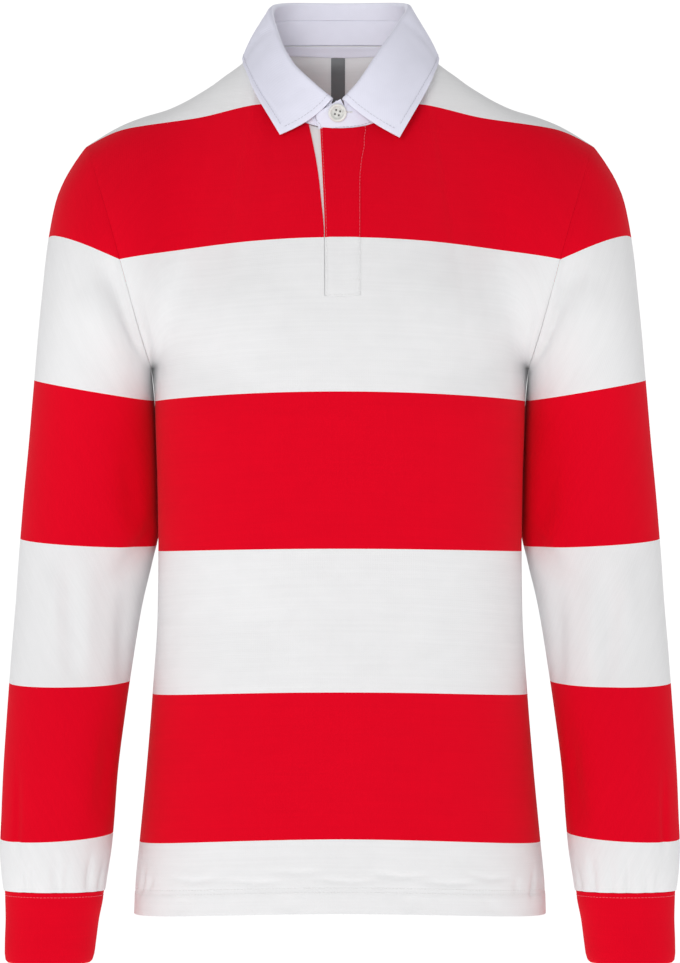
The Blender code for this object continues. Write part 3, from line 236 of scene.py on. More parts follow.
LEFT_SLEEVE_CREASES = (
    (((98, -166), (85, -186), (73, -199), (61, -214), (51, -228), (38, -243), (20, -259)), 8.5, 6.56, 1.5),
    (((49, -230), (35, -246), (14, -264)), 3.2, 5.25, 1.0),
    (((101, -190), (88, -209), (74, -226), (60, -252)), 13.0, -3.94, 1.0),
    (((244, -176), (262, -205), (290, -240), (318, -266)), 10.0, 6.12, 1.4),
    (((238, -200), (254, -230), (272, -262)), 12.0, -3.5, 1.0),
    (((52, -336), (47, -375), (40, -412)), 11.0, 3.94, 1.0),
    (((22, -392), (34, -414), (64, -440)), 10.0, 4.38, 1.0),
    (((318, -398), (300, -424), (276, -446)), 11.0, 4.81, 1.2),
    (((94, -436), (88, -474), (82, -506), (80, -534)), 8.0, 3.28, 1.0),
    (((110, -424), (106, -452), (102, -486)), 8.0, -2.41, 1.0),
    (((75, -436), (71, -478), (66, -522)), 9.0, -2.84, 1.0),
    (((48, -440), (38, -490), (28, -534)), 10.0, 3.28, 1.0),
    (((36, -560), (32, -606), (38, -652)), 13.0, 3.94, 1.0),
    (((129, -602), (127, -650), (125, -692)), 4.0, 2.19, 1.2),
    (((206, -470), (232, -492), (262, -505)), 13.0, 3.5, 1.1),
    (((228, -560), (216, -606), (220, -640)), 12.0, 2.84, 1.0),
    (((121, -676), (119, -690), (120, -716)), 3.4, 2.36, 1.2),
    (((104, -682), (106, -716)), 3.8, 2.36, 1.2),
    (((86, -670), (84, -688), (85, -716)), 4.2, 2.65, 1.2),
    (((66, -680), (69, -716)), 3.6, 2.36, 1.2),
    (((47, -674), (45, -716)), 4.4, 2.95, 1.2),
    (((24, -682), (26, -716)), 4.0, 2.36, 1.2),
    (((205, -676), (200, -716)), 5.0, 2.95, 1.2),
    (((236, -684), (240, -716)), 4.0, 2.36, 1.2),
    (((268, -678), (264, -716)), 5.0, 2.65, 1.2),
    (((304, -682), (306, -716)), 4.0, 2.36, 1.2),
)


def restyled(table, shifts):
    """A table of creases each moved a little, so that the two sides of the shirt differ."""
    moved = []
    for k, (path, width, deep, sharp) in enumerate(table):
        aside, up, size = shifts[k % len(shifts)]
        moved.append((tuple((x + aside, z + up) for x, z in path), width, deep * size, sharp))
    return tuple(moved)


RIGHT_SLEEVE_CREASES = restyled(
    LEFT_SLEEVE_CREASES,
    ((0, 1, 1.0), (1, 2, 0.9), (-1, -3, 1.1), (3, 4, 0.9), (-3, -2, 1.0), (2, 5, 0.85), (-2, 3, 1.1)),
)
HEM_DRAGS_BACK = restyled(HEM_DRAGS_FRONT, ((6, 0, 0.9), (-8, 1, 1.1), (11, -1, 0.8), (-5, 0, 1.2)))
LEFT_CUFF_CREASES = (
    (((88, -712), (90, -732), (95, -752)), 9.0, 0.9, 1.0),
    (((250, -715), (246, -750)), 12.0, 1.05, 1.0),
)
RIGHT_CUFF_CREASES = (
    (((80, -716), (84, -748)), 10.0, 0.9, 1.0),
    (((262, -714), (258, -752)), 11.0, 1.05, 1.0),
)
LEAF_BENDS = (  # share of the way round, lean, half width, depth
    (0.245, 0.09, 0.016, 1.3), (0.285, -0.05, 0.014, -0.8), (0.335, 0.04, 0.012, 1.0),
    (0.40, -0.03, 0.012, 0.8), (0.445, 0.05, 0.010, -0.6), (0.49, -0.04, 0.012, 0.8),
    (0.545, 0.05, 0.010, 0.7), (0.60, -0.03, 0.012, -0.6), (0.655, -0.04, 0.013, 1.0),
    (0.71, 0.06, 0.014, -0.8), (0.755, -0.09, 0.016, 1.3),
)

# Sewing and small sizes
SEAM_GAP = 0.08  # between two cloths at a seam
HALF_GAP = SEAM_GAP / 2
SEAM_DIP = 0.14  # how deep a seam draws the cloth in
SEAM_REACH = 1.3  # how near to the seam it does
SHOULDER_LINE = 2.3  # the front's shoulder seam is sewn down this far from it
CREASE_FADE = 17.0  # creases fade out this near to the seams
STITCH_DIP = 0.3  # how deep a row of stitches presses in
STITCH_REACH = 1.1  # and how wide
FINE_REACH = 1.0  # the same of the finer rows, and how near to its edges a folded band is rounded
STITCH_WANDER = 0.06  # how far stitches stray from their row
HEM_STITCHES = (-702.7, -706.3)  # levels of the two rows
HEM_PROUD = 0.35  # how far the turned-up hem stands out
CUFF_STITCH = -707.4  # level of the row
CUFF_TOP_ROWS = (0.0, 0.6, 1.4)  # rows of points below the cuff's top
CUFF_FOOT_ROWS = (1.9, 1.0, 0.4, 0.0)  # and above its folded lower edge
CUFF_COLUMNS = 120

FLY_STRIPE = -155.0  # the fly is red above this height and white below
FLY_SHARES = np.array([0.0, 0.025, 0.07, 0.16, 0.28, 0.42, 0.56, 0.7, 0.82, 0.92, 0.97, 1.0])
FLY_SHORT = (3.2, 2.7, 1.7, 0.6)  # how far the fly's top edge ends below the neck seam, left to right
FLY_ROUND, FLY_ROUND_REACH = 0.85, 2.0  # how deep and how near to its edges the fly is rounded
FLY_BELLY = 0.12  # how much its middle swells
FLY_STITCH, FLY_RIGHT_STITCH = 1.4, 1.2  # rows of stitches in from the left and the right edge
FLY_STITCH_REACH = 0.9  # how wide the left one presses in
FLY_FOOT, FLY_BOX = 1.2, 14.3  # cross rows, above the fly's foot
FLY_WANDER = (  # below the top, how far the right row strays
    (0.0, 6.0, 12.0, 20.0, 32.0, 48.0, 200.0), (0.0, 0.9, 0.1, 0.8, -0.1, 0.2, 0.0),
)
UNDERLAY_SINK = 1.3  # the underlay lies this far behind the front's face
UNDERLAY_LEFT, UNDERLAY_RIGHT = np.array([-7.0, -2.0]), np.array([2.0, 4.0])  # columns past the slit's edges

NECK_MIDDLE = 8.0  # how far back the middle of the neck is
INSIDE_TURN = -0.2  # faces turned in towards the neck more than this get a paler twill, painted light for the shade inside the neck
STAND_ROUND, STAND_ROUND_REACH = 0.35, 1.2  # how deep and how near the stand's long edges are rounded
BAND_ROUND = 0.3  # how deep the stand's ends and the leaf's edges are rounded
STAND_SEAM, STAND_SEAM_REACH = 0.45, 0.9  # the inner side's dip where stand and leaf meet
STAND_STITCH = 2.2  # its row of stitches in from the end
LEAF_STITCH = 5.0  # in from the leaf's edges
LEAF_DIP = 0.75  # how deep the leaf's topstitching presses in
TAPE_START, TAPE_LIFT = 0.6, 0.3  # below the neck seam, and off the back's inner side
TAPE_ROWS = np.array([0.0, 0.5, 1.3, 3.2, 5.0, 7.0, 8.2, 9.0, 9.5])
LABEL_START = 9.6
LABEL_LENGTH = 46.0
LABEL_MIDDLE = -1.7
LABEL_WIDTH = 12.0
LABEL_LIFT = 0.4
LABEL_SHARES = np.array([-1.0, -0.93, -0.75, -0.4, 0.0, 0.4, 0.75, 0.93, 1.0])

BUTTON_TURN = math.radians(28)
BUTTON_HOLE_REACH = 1.75 * math.sqrt(2)  # from the button's middle to each hole's middle
BUTTON_DISH = 1.85  # how high the tops of the threads stand over the button's foot
BUTTON_THREAD = (1.2, 1.0, 0.66)  # a stitch's length, pitch and radius
BUTTONHOLE_THREAD = (1.5, 1.4, 0.22)
BUTTONHOLE_ASIDE = 2.6  # its middle, past the button's edge
BUTTONHOLE_ENDS = (-3.2, 2.4)
BUTTONHOLE_RIDGE, BUTTONHOLE_BAR = 0.55, 0.9  # half the way between its two ridges, and across its bars

# What each piece was cut to, in metres, with its flat area where it isn't a rectangle
PANEL_FLAT = {"front": ((0.50, 0.74), 0.305), "back": ((0.49, 0.80), 0.311)}
SLEEVE_FLAT = ((0.42, 0.64), 0.181)
CUFF_FLAT = (0.235, 0.061)
FLY_FLAT = (0.035, 0.146)
UNDERLAY_FLAT = (0.045, 0.152)
STAND_FLAT = ((0.43, 0.036), 0.011)
LEAF_FLAT = ((0.47, 0.075), 0.028)
TAPE_FLAT = (0.13, 0.0105)
LABEL_FLAT = (0.012, 0.046)

# Studio
LIGHT_AIM = (0.0, 0.0, -0.36)
STUDIO_LIGHTS = (  # name, place, size, power
    ("key_light", (-1.0, -4.1, 0.3), (1.3, 1.3), 49.0),
    ("left_softbox", (-3.4, -0.5, -0.1), (2.0, 2.4), 10.0),
    ("right_softbox", (3.4, -0.5, -0.1), (2.0, 2.4), 14.0),
    ("back_light", (0.0, 3.6, 1.6), (3.0, 2.0), 42.0),
    ("collar_light", (0.0, -2.6, 0.2), (0.8, 0.6), 10.0),
)
COLLAR_LIT = ("collar_stand_band", "collar_leaf_cloth", "back_neck_tape", "bare_neck_label", "jersey_back")
SEEN_AIR = 1.05  # the air as the camera sees it
CAMERA_PLACE = (0.0, -4.5, -0.358)
FOCAL_LENGTH, SENSOR_HEIGHT = 198.0, 36.0

# ---------------------------------------------------------------- curves


SAMPLES = 1601  # points of a dense line


def hermite(start, start_pull, end, end_pull, t):
    """The curve from start to end that leaves and arrives with the given pulls, read at t from 0 to 1."""
    return (
        start * (1 + 2 * t) * (1 - t) ** 2
        + start_pull * t * (1 - t) ** 2
        + end * t * t * (3 - 2 * t)
        + end_pull * t * t * (t - 1)
    )


def smooth(xs, ys, at):
    """The curve through (xs, ys) that never overshoots its points, read at `at`."""
    xs, ys = np.asarray(xs, float), np.asarray(ys, float)
    if xs[0] > xs[-1]:
        xs, ys = xs[::-1], ys[::-1]
    step = np.diff(xs)
    slope = np.diff(ys) / step
    tangent = np.empty_like(ys)
    tangent[0], tangent[-1] = slope[0], slope[-1]
    product = slope[:-1] * slope[1:]
    weighted = slope[:-1] * step[1:] + slope[1:] * step[:-1]
    safe = np.where(product > 0, weighted, 1.0)
    tangent[1:-1] = np.where(product > 0, product * (step[1:] + step[:-1]) / safe, 0.0)
    at = np.clip(at, xs[0], xs[-1])
    k = np.clip(np.searchsorted(xs, at) - 1, 0, len(xs) - 2)
    t = (at - xs[k]) / step[k]
    return hermite(ys[k], tangent[k] * step[k], ys[k + 1], tangent[k + 1] * step[k], t)


def column(rows, index, at):
    """One column of a table against its first column."""
    return smooth([row[0] for row in rows], [row[index] for row in rows], at)


def vectors(rows, first, at):
    """Three columns of a table, from `first` on, against its first column."""
    return np.stack([column(rows, first + axis, at) for axis in range(3)], axis=-1)


def line_through(points):
    """A dense smooth line through points in space, as (points, distance along)."""
    points = np.asarray(points, float)
    chord = np.linalg.norm(np.diff(points, axis=0), axis=1)
    knots = np.concatenate([[0.0], np.cumsum(chord)])
    slope = np.diff(points, axis=0) / chord[:, None]
    weight = (chord[:-1] / (chord[:-1] + chord[1:]))[:, None]
    tangent = np.empty_like(points)
    tangent[1:-1] = slope[:-1] * (1 - weight) + slope[1:] * weight
    tangent[0] = 1.5 * slope[0] - 0.5 * tangent[1]
    tangent[-1] = 1.5 * slope[-1] - 0.5 * tangent[-2]
    at = np.linspace(0.0, knots[-1], SAMPLES)
    k = np.clip(np.searchsorted(knots, at) - 1, 0, len(chord) - 1)
    length = chord[k][:, None]
    t = ((at - knots[k]) / chord[k])[:, None]
    dense = hermite(points[k], tangent[k] * length, points[k + 1], tangent[k + 1] * length, t)
    return dense, run_of(dense)


def run_of(points):
    """Distance along a row of points."""
    return np.concatenate([[0.0], np.cumsum(np.linalg.norm(np.diff(points, axis=0), axis=1))])


def along(line, share):
    """Points of a dense line at shares of its length."""
    dense, run = line
    return between(np.asarray(share, float) * run[-1], run, dense)


def between(at, knots, points):
    """Points read on the straight stretches between their knots."""
    return np.stack([np.interp(at, knots, points[:, axis]) for axis in range(3)], axis=-1)


def at_x(line, x):
    """Points of a row of points at the given x."""
    return between(x, line[:, 0], line)


def unit(arrows):
    return arrows / np.linalg.norm(arrows, axis=-1, keepdims=True)


def ease(t):
    """0 to 1 with level ends."""
    t = np.clip(t, 0.0, 1.0)
    return t * t * (3 - 2 * t)


def bell(away, reach):
    """1 where nothing is away, and all but gone at twice the reach."""
    return np.exp(-((away / reach) ** 2))


def grid_normals(points, outward, wrap=False):
    """Normals of a grid of points, turned so that they agree with `outward`, 1 or -1."""
    if wrap:
        around = np.roll(points, -1, axis=1) - np.roll(points, 1, axis=1)
    else:
        around = np.gradient(points, axis=1)
    return unit(np.cross(around, np.gradient(points, axis=0))) * outward


def mitre(*normals):
    """The shared offset of walls that meet: one unit out of each of them."""
    total = sum(normals)
    return total / np.mean([np.sum(total * normal, axis=-1) for normal in normals], axis=0)[..., None]


def mirrored(points):
    return points * [-1.0, 1.0, 1.0]


# ---------------------------------------------------------------- front and back


def torso_ring(side, level):
    """Half a ring of the body, from -X to +X, over the front (side -1) or the back (side 1)."""
    half = column(TORSO, 1, level)
    depth = column(TORSO, 2, level) + SIDE_SEAM_Y if side < 0 else column(TORSO, 3, level) - SIDE_SEAM_Y
    turn = np.linspace(math.pi, 0.0, SAMPLES)
    across, out = np.abs(np.cos(turn)), np.sin(turn)
    power = TORSO_SQUARENESS
    reach = ((across / half) ** power + (out / depth) ** power) ** (-1 / power)
    x = reach * np.cos(turn)
    rise = column(TORSO, 4, level) if side < 0 else 0.0
    z = level + rise * (1 - (x / half) ** 2)
    points = np.stack([x, SIDE_SEAM_Y + side * reach * out, z], axis=-1)
    return points, run_of(points)


def top_line(side):
    """Half the neck seam and the shoulder seam of one panel, as two lines that meet at the neck point."""
    shoulder_x = np.array([row[0] for row in SHOULDER])
    share = (shoulder_x - shoulder_x[0]) / (shoulder_x[-1] - shoulder_x[0])
    shoulder_y = NECK_POINT[1] + (SHOULDER_TIP[1] - NECK_POINT[1]) * share
    shoulder = np.stack([shoulder_x, shoulder_y, [row[1] for row in SHOULDER]], axis=-1)
    return line_through(NECK_FRONT if side < 0 else NECK_BACK), line_through(shoulder)


def armhole(side):
    return line_through((UNDERARM,) + (ARMHOLE_FRONT if side < 0 else ARMHOLE_BACK) + (SHOULDER_TIP,))


def side_seam():
    """The short stretch of side seam from the chest ring up into the underarm, flaring out."""
    foot = torso_ring(-1, CHEST_LEVEL)[0][-1]
    return line_through((foot,) + SIDE_SEAM_TOP + (UNDERARM,))


def seam_share():
    """Where the underarm lies on a panel's edge, as a share of the yoke patch's height."""
    seam, hole = side_seam()[1][-1], armhole(-1)[1][-1]
    return seam / (seam + hole)


class Panel:
    """The outer face of the front or the back.

    Up to the chest it is rings. Above, the yoke patch: curved columns from the chest ring to the shoulder
    and neck seams, drawn to the armhole's own line at both edges. u runs from -1 to 1 across, and v from
    0 at the chest ring to 1 at the top.
    """

    def __init__(self, side):
        self.side = side
        self.base = torso_ring(side, CHEST_LEVEL)
        self.shares = np.linspace(0.0, 1.0, SAMPLES)
        below = torso_ring(side, CHEST_LEVEL - 4.0)
        self.lean = unit(along(self.base, self.shares) - along(below, self.shares))
        self.neck, self.shoulder = top_line(side)
        self.hole = armhole(side)
        self.seam = side_seam()
        self.corner = seam_share()
        self.yoke = YOKE_FRONT if side < 0 else YOKE_BACK
        self.pull_aside = self.edge(self.shares) - self.bare(np.ones(SAMPLES), self.shares)

    def ring(self, u, level):
        return along(torso_ring(self.side, level), (np.asarray(u) + 1) / 2)

    def edge(self, v):
        """The panel's +X edge: the side seam, then the armhole."""
        on_seam = along(self.seam, np.clip(v / self.corner, 0, 1))
        on_hole = along(self.hole, np.clip((v - self.corner) / (1 - self.corner), 0, 1))
        return np.where((v <= self.corner)[..., None], on_seam, on_hole)

    def top(self, u):
        size = np.abs(u)
        on_neck = along(self.neck, np.clip(size / NECK_SHARE, 0, 1))
        on_shoulder = along(self.shoulder, np.clip((size - NECK_SHARE) / (1 - NECK_SHARE), 0, 1))
        points = np.where((size <= NECK_SHARE)[..., None], on_neck, on_shoulder)
        points[..., 0] *= np.where(u < 0, -1.0, 1.0)
        return points

    def bare(self, u, v):
        """The patch before the armholes draw it to them."""
        size = np.abs(u)
        share = (u + 1) / 2
        foot = along(self.base, share)
        lean = between(share, self.shares, self.lean) * column(self.yoke, 1, size)[..., None]
        pull = unit(vectors(self.yoke, 2, size)) * column(self.yoke, 5, size)[..., None]
        return hermite(foot, lean, self.top(u), pull, v[..., None])

    def patch(self, u, v):
        u, v = np.broadcast_arrays(np.asarray(u, float), np.asarray(v, float))
        drawn = between(v, self.shares, self.pull_aside)
        drawn[..., 0] *= np.where(u < 0, -1.0, 1.0)
        near = ease((np.abs(u) - 1 + EDGE_REACH) / EDGE_REACH) ** 1.5
        return self.bare(u, v) + drawn * near[..., None]

    def u_at(self, x, v):
        """The column that passes through x at height v, near the middle."""
        x, v = np.broadcast_arrays(np.asarray(x, float), np.asarray(v, float))
        low, high = np.full(x.shape, -0.5), np.full(x.shape, 0.5)
        for _ in range(22):
            middle = (low + high) / 2
            over = self.patch(middle, v)[..., 0] > x
            high = np.where(over, middle, high)
            low = np.where(over, low, middle)
        return (low + high) / 2

    def v_at(self, z):
        """The height share at which the middle column passes z."""
        return float(np.interp(z, self.patch(np.zeros(SAMPLES), self.shares)[:, 2], self.shares))


FRONT, BACK = Panel(-1), Panel(1)

# ---------------------------------------------------------------- grids of points

THICK = {"jersey": 1.4, "hem": 0.8, "cuff": 2.0, "twill": 1.6, "underlay": 1.3, "tape": 0.9, "label": 0.6}
HEM_LEVELS = (
    *(-724.0, -723.3, -722.0, -720.0, -717.5, -715.0, -712.0, -709.5, -707.8, -706.6, -705.2, -703.8, -702.4),
    *(-700.8, -699.2, -697.6, -696.0, -694.4, -692.8, -691.2, -689.6, -688.0, -686.2, -684.2, -681.8, -679.0),
)
RING_STEP = SLEEVE_STEP = 5.5
CELLS = {"shoulder": 36, "neck": 24, "slit": 8, "side": 9, "slit_foot": 15, "yoke": 40, "cap": 34}
NEAR_TOP = (0.0135, 0.0100, 0.0078, 0.0055, 0.0030)  # extra rows below the top, as shares of the yoke
NEAR = (0.0045, 0.0110)  # extra rows and columns beside an edge, as shares of a half panel
NECK_COLUMNS = 50  # across the back's neck seam
RELAX_ROUNDS, RELAX_REACH = 90, 24.0  # how often the back is evened out, and how far below its top in full
CAD_SHARES = (3.0, 8.0)  # rows of the solid's armhole below and above the slit's foot


def ring_levels():
    count = round((CHEST_LEVEL - HEM_LEVELS[-1]) / RING_STEP)
    return np.concatenate([HEM_LEVELS, np.linspace(HEM_LEVELS[-1], CHEST_LEVEL, count + 1)[1:]])


RINGS = ring_levels()
SLIT_V = FRONT.v_at(SLIT_BOTTOM)
CORNER_V = FRONT.corner


def row_values():
    """Heights of the yoke patch's rows, with one row at the underarm and one at the slit's bottom."""
    lower = np.linspace(0.0, CORNER_V, CELLS["side"] + 1)[1:]
    middle = np.linspace(CORNER_V, SLIT_V, CELLS["slit_foot"] + 1)[1:]
    upper = np.linspace(SLIT_V, 1.0, CELLS["yoke"] + 1)[1:-1]
    return np.concatenate([lower, middle, upper, 1.0 - np.array(NEAR_TOP), [1.0]])


ROWS = row_values()


def shoulder_columns():
    even = np.linspace(-1.0, -NECK_SHARE, CELLS["shoulder"] + 1)
    return np.concatenate([even[:1], -1.0 + np.array(NEAR), even[1:]])


def front_columns(v):
    """Columns of the front at height v: the slit's two edges are columns of their own."""
    z = FRONT.patch(np.zeros(1), np.array([v]))[0, 2]
    edges = [column(SLIT_LEFT, 1, z) - HALF_GAP, column(SLIT_RIGHT, 1, z) + HALF_GAP]
    left, right = FRONT.u_at(edges, v)
    outer = shoulder_columns()
    return np.concatenate([
        outer[:-1],
        np.linspace(-NECK_SHARE, left - NEAR[1], CELLS["neck"])[:-1],
        left - np.array(NEAR[::-1]),
        np.linspace(left, right, CELLS["slit"] + 1),
        right + np.array(NEAR),
        np.linspace(right + NEAR[1], NECK_SHARE, CELLS["neck"])[1:-1],
        -outer[::-1],
    ])


def back_columns(v):
    outer = shoulder_columns()
    return np.concatenate([outer[:-1], np.linspace(-NECK_SHARE, NECK_SHARE, NECK_COLUMNS)[:-1], -outer[::-1]])


SHOULDER_COLUMNS = len(shoulder_columns()) - 1
SLIT_COLUMN = SHOULDER_COLUMNS + CELLS["neck"] + 1
SLIT_ROW = len(RINGS) + int(np.argmin(np.abs(ROWS - SLIT_V)))
ARM_ROW = len(RINGS) + int(np.argmin(np.abs(ROWS - CORNER_V)))


def panel_grid(panel, columns):
    """Outer points of a whole panel, hem to top."""
    low = columns(SLIT_V)
    points = [panel.ring(low, level) for level in RINGS]
    for v in ROWS:
        u = low if v < SLIT_V else columns(v)
        points.append(panel.patch(u, np.full(len(u), v)))
    return np.array(points)


def runs(points, axis, wrap=False):
    """Distance along each row (axis 1) or column (axis 0) of a grid."""
    if wrap:
        points = np.concatenate([points, points[:, :1]], axis=1)
    steps = np.linalg.norm(np.diff(points, axis=axis), axis=-1)
    start = np.zeros_like(steps[:, :1] if axis else steps[:1])
    return np.concatenate([start, np.cumsum(steps, axis=axis)], axis=axis)


def creased(across, up, table):
    """How deep the creases of a table press in: deepest halfway along, and gone at both ends."""
    depth = np.zeros(across.shape)
    here = np.stack([across, up], axis=-1)
    for path, width, deep, sharp in table:
        path = np.array(path, float)
        knots = np.concatenate([[0.0], np.cumsum(np.linalg.norm(np.diff(path, axis=0), axis=1))])
        nearest, passed = np.full(across.shape, np.inf), np.zeros(across.shape)
        side = np.zeros(across.shape, bool)
        for start, end, before in zip(path[:-1], path[1:], knots[:-1]):
            run = end - start
            t = np.clip((here - start) @ run / (run @ run), 0, 1)
            apart = here - start - t[..., None] * run
            away = np.linalg.norm(apart, axis=-1)
            closer = away < nearest
            nearest = np.where(closer, away, nearest)
            passed = np.where(closer, before + t * np.linalg.norm(run), passed)
            side = np.where(closer, run[0] * apart[..., 1] - run[1] * apart[..., 0] > 0, side)
        reach = np.where(side, width / sharp, width)
        ends = np.sin(math.pi * np.clip(passed / knots[-1], 0.03, 0.97)) ** 0.7
        depth += deep * bell(nearest, reach) * ends
    return depth


def seam_dip(*distances):
    """How far the cloth is drawn in beside its seams."""
    return SEAM_DIP * sum(bell(distance, SEAM_REACH) for distance in distances)


def pulled_back(points, rows=(), columns=(), by=HALF_GAP):
    """Grid points with the named edge rows and columns drawn in from their seams."""
    moved = points.copy()
    for row, neighbour in rows:
        moved[row] += unit(points[neighbour] - points[row]) * by
    for col, neighbour in columns:
        moved[:, col] += unit(points[:, neighbour] - points[:, col]) * by
    return moved


def tube_ring(rows, level, share):
    """Points round a sleeve or cuff at a level, by share of the way round from the inner side."""
    inner, outer, middle, depth = (column(rows, k, level) for k in (1, 2, 3, 4))
    turn = np.linspace(math.pi, -math.pi, SAMPLES)
    across, out = np.abs(np.cos(turn)), np.abs(np.sin(turn))
    half_x, half_y = (outer - inner) / 2, depth / 2
    power = SLEEVE_SQUARENESS
    reach = ((across / half_x) ** power + (out / half_y) ** power) ** (-1 / power)
    x = (inner + outer) / 2 + reach * np.cos(turn)
    points = np.stack([x, middle - reach * np.sin(turn), np.full(SAMPLES, float(level))], axis=-1)
    return along((points, run_of(points)), share)


def ring_shares():
    """Share of the way round the sleeve for each point of the armhole, as the solid spaces its own."""
    v = np.concatenate([ROWS[ARM_ROW - len(RINGS) :], ROWS[ARM_ROW + 1 - len(RINGS) : -1][::-1]])
    half = np.interp(v, [CORNER_V, SLIT_V, 1.0], np.cumsum([0.0, *CAD_SHARES]) / sum(CAD_SHARES)) / 2
    tip = len(ROWS) - 1 - (ARM_ROW - len(RINGS))
    return np.where(np.arange(len(v)) <= tip, half, 1 - half)


def sleeve_levels():
    count = round((CAP_LEVEL - SLEEVE_END) / SLEEVE_STEP)
    even = np.linspace(CAP_LEVEL, SLEEVE_END + 3.0, count)[1:]
    return np.concatenate([even, SLEEVE_END + np.array([1.6, 0.7, 0.0])])


def sleeve_grid(ring, share):
    """Outer points of the +X sleeve from the armhole points in `ring` to the cuff seam, before creases."""
    half = np.minimum(share, 1 - share)
    sign = np.where(share > 0.5, -1.0, 1.0)
    end = tube_ring(SLEEVE, CAP_LEVEL, share)
    below = tube_ring(SLEEVE, CAP_LEVEL - 4.0, share)
    way = unit(vectors(SLEEVE_HEAD, 1, half))
    way[:, 1] *= sign
    start_pull = way * column(SLEEVE_HEAD, 4, half)[:, None]
    end_pull = unit(below - end) * column(SLEEVE_HEAD, 5, half)[:, None]
    tip = int(np.argmin(np.abs(share - 0.5)))
    rows = []
    steps = np.linspace(0.0, 1.0, CELLS["cap"] + 1)
    for t in np.concatenate([steps[:1], NEAR, steps[1:]]):
        row = hermite(ring, start_pull, end, end_pull, np.full((len(ring), 1), t))
        crest = row[tip]
        outline = column(SHOULDER_OUTLINE, 1, crest[2]) - crest[0]
        row[:, 0] += outline * ease((half - 0.22) / 0.28)
        rows.append(row)
    rows += [tube_ring(SLEEVE, level, share) for level in sleeve_levels()]
    return np.array(rows)


class Shapes:
    """The shirt's cloth faces before they get their thickness, each worked out once."""

    def __init__(self):
        front, back = panel_grid(FRONT, front_columns), self.relaxed(panel_grid(BACK, back_columns))
        self.front, self.back = self.with_relief(front, -1), self.with_relief(back, 1)
        self.front_normals = grid_normals(self.front, 1)
        self.back_normals = grid_normals(self.back, -1)
        self.share = ring_shares()
        ring = np.concatenate([self.front[ARM_ROW:, -1], self.back[ARM_ROW + 1 : -1, -1][::-1]])
        self.sleeves = [self.sleeve(ring, creases) for creases in (LEFT_SLEEVE_CREASES, RIGHT_SLEEVE_CREASES)]

    @staticmethod
    def relaxed(points):
        """A panel with its depth evened out along each row, apart from its edges, so that no row kinks."""
        x, y = points[..., 0], points[..., 1].copy()
        share = (x[:, 1:-1] - x[:, :-2]) / (x[:, 2:] - x[:, :-2])
        down = runs(points[::-1], 0)[::-1]
        hold = 0.5 * ease(down / RELAX_REACH)[:, 1:-1]
        for _ in range(RELAX_ROUNDS):
            chord = y[:, :-2] * (1 - share) + y[:, 2:] * share
            y[:, 1:-1] += hold * (chord - y[:, 1:-1])
        return np.stack([x, y, points[..., 2]], axis=-1)

    @staticmethod
    def with_relief(points, side):
        """A panel's points with its creases, its turned-up hem and the drag of the hem's stitching."""
        normals = grid_normals(points, -side)
        across = runs(points, 1)
        edge = np.minimum(across, across[:, -1:] - across)
        middle = across - across[:, -1:] / 2
        level = np.concatenate([RINGS, np.full(len(ROWS), CHEST_LEVEL)])[:, None] + 0 * across
        table = FRONT_CREASES if side < 0 else BACK_CREASES
        depth = creased(points[..., 0], points[..., 2], table)
        depth += creased(middle, level, HEM_DRAGS_FRONT if side < 0 else HEM_DRAGS_BACK)
        depth *= ease(edge / CREASE_FADE)
        fold = (level < HEM_FOLD - 1.5) * HEM_PROUD
        groove = sum(STITCH_DIP * bell(level - at, STITCH_REACH) for at in HEM_STITCHES)
        return points - normals * (depth - fold + groove)[..., None]

    def sleeve(self, ring, creases):
        """(points, normals) of one +X sleeve with its creases."""
        points = sleeve_grid(ring, self.share)
        normals = grid_normals(points, -1, wrap=True)
        down = runs(points, 0)
        around = np.broadcast_to(self.share * SLEEVE_GIRTH, points.shape[:-1])
        turns = (0.0, -SLEEVE_GIRTH, SLEEVE_GIRTH)
        depth = sum(creased(around + turn, points[..., 2], creases) for turn in turns)
        depth *= ease(down / 12.0) * (0.4 + 0.6 * ease((down[-1:] - down) / 5.0))
        pressed = points - normals * depth[..., None]
        return pressed, grid_normals(pressed, -1, wrap=True)


def stripe_of(points, side=0):
    """How many stripe edges lie above each point, out of eight. An edge is where a half is passed."""
    x, y, z = np.abs(points[..., 0]), points[..., 1], points[..., 2]
    if side:
        passed = 0.0
        edges = []
        for half, level, front_rise, back_rise in STRIPE_EDGES:
            edges.append(level + (front_rise if side < 0 else back_rise) * (1 - (x / half) ** 2))
        if side < 0:
            edges[0] = column(YOKE_EDGE, 1, x)
    else:
        passed = 1.0
        edges = [level + along_x * x + along_y * y for level, along_x, along_y in SLEEVE_STRIPE_EDGES]
    for edge in edges:
        passed = passed + np.clip((edge - z) / STRIPE_BLEND + 0.5, 0, 1)
    return passed / 8.0


# ---------------------------------------------------------------- collar grids


def neck_loop(front, back):
    """The neck seam, from the wearer's right throat round the back to the left, with its shares and run."""
    inside = slice(SHOULDER_COLUMNS, -SHOULDER_COLUMNS)
    before, behind = front[-1, inside], back[-1, inside]
    clear = THROAT + 3.4
    ends = at_x(before, [-THROAT - 2.0, -THROAT - 0.8, -THROAT, THROAT, THROAT + 0.8, THROAT + 2.0])
    right = before[before[:, 0] < -clear][::-1]
    left = before[before[:, 0] > clear][::-1]
    points = np.concatenate([ends[:3][::-1], right, behind[1:-1], left, ends[3:][::-1]])
    run = THROAT + run_of(points)
    return points, run / (run[-1] + THROAT), run


BEND_STEPS = 10
LEAF_STEPS = (*np.linspace(0.0, 1.0, 19)[1:-1], 0.965, 0.985, 1.0)
STAND_STEPS = (0.0, 0.06, 0.16, 0.33, 0.5, 0.67, 0.84, 0.94, 1.0)


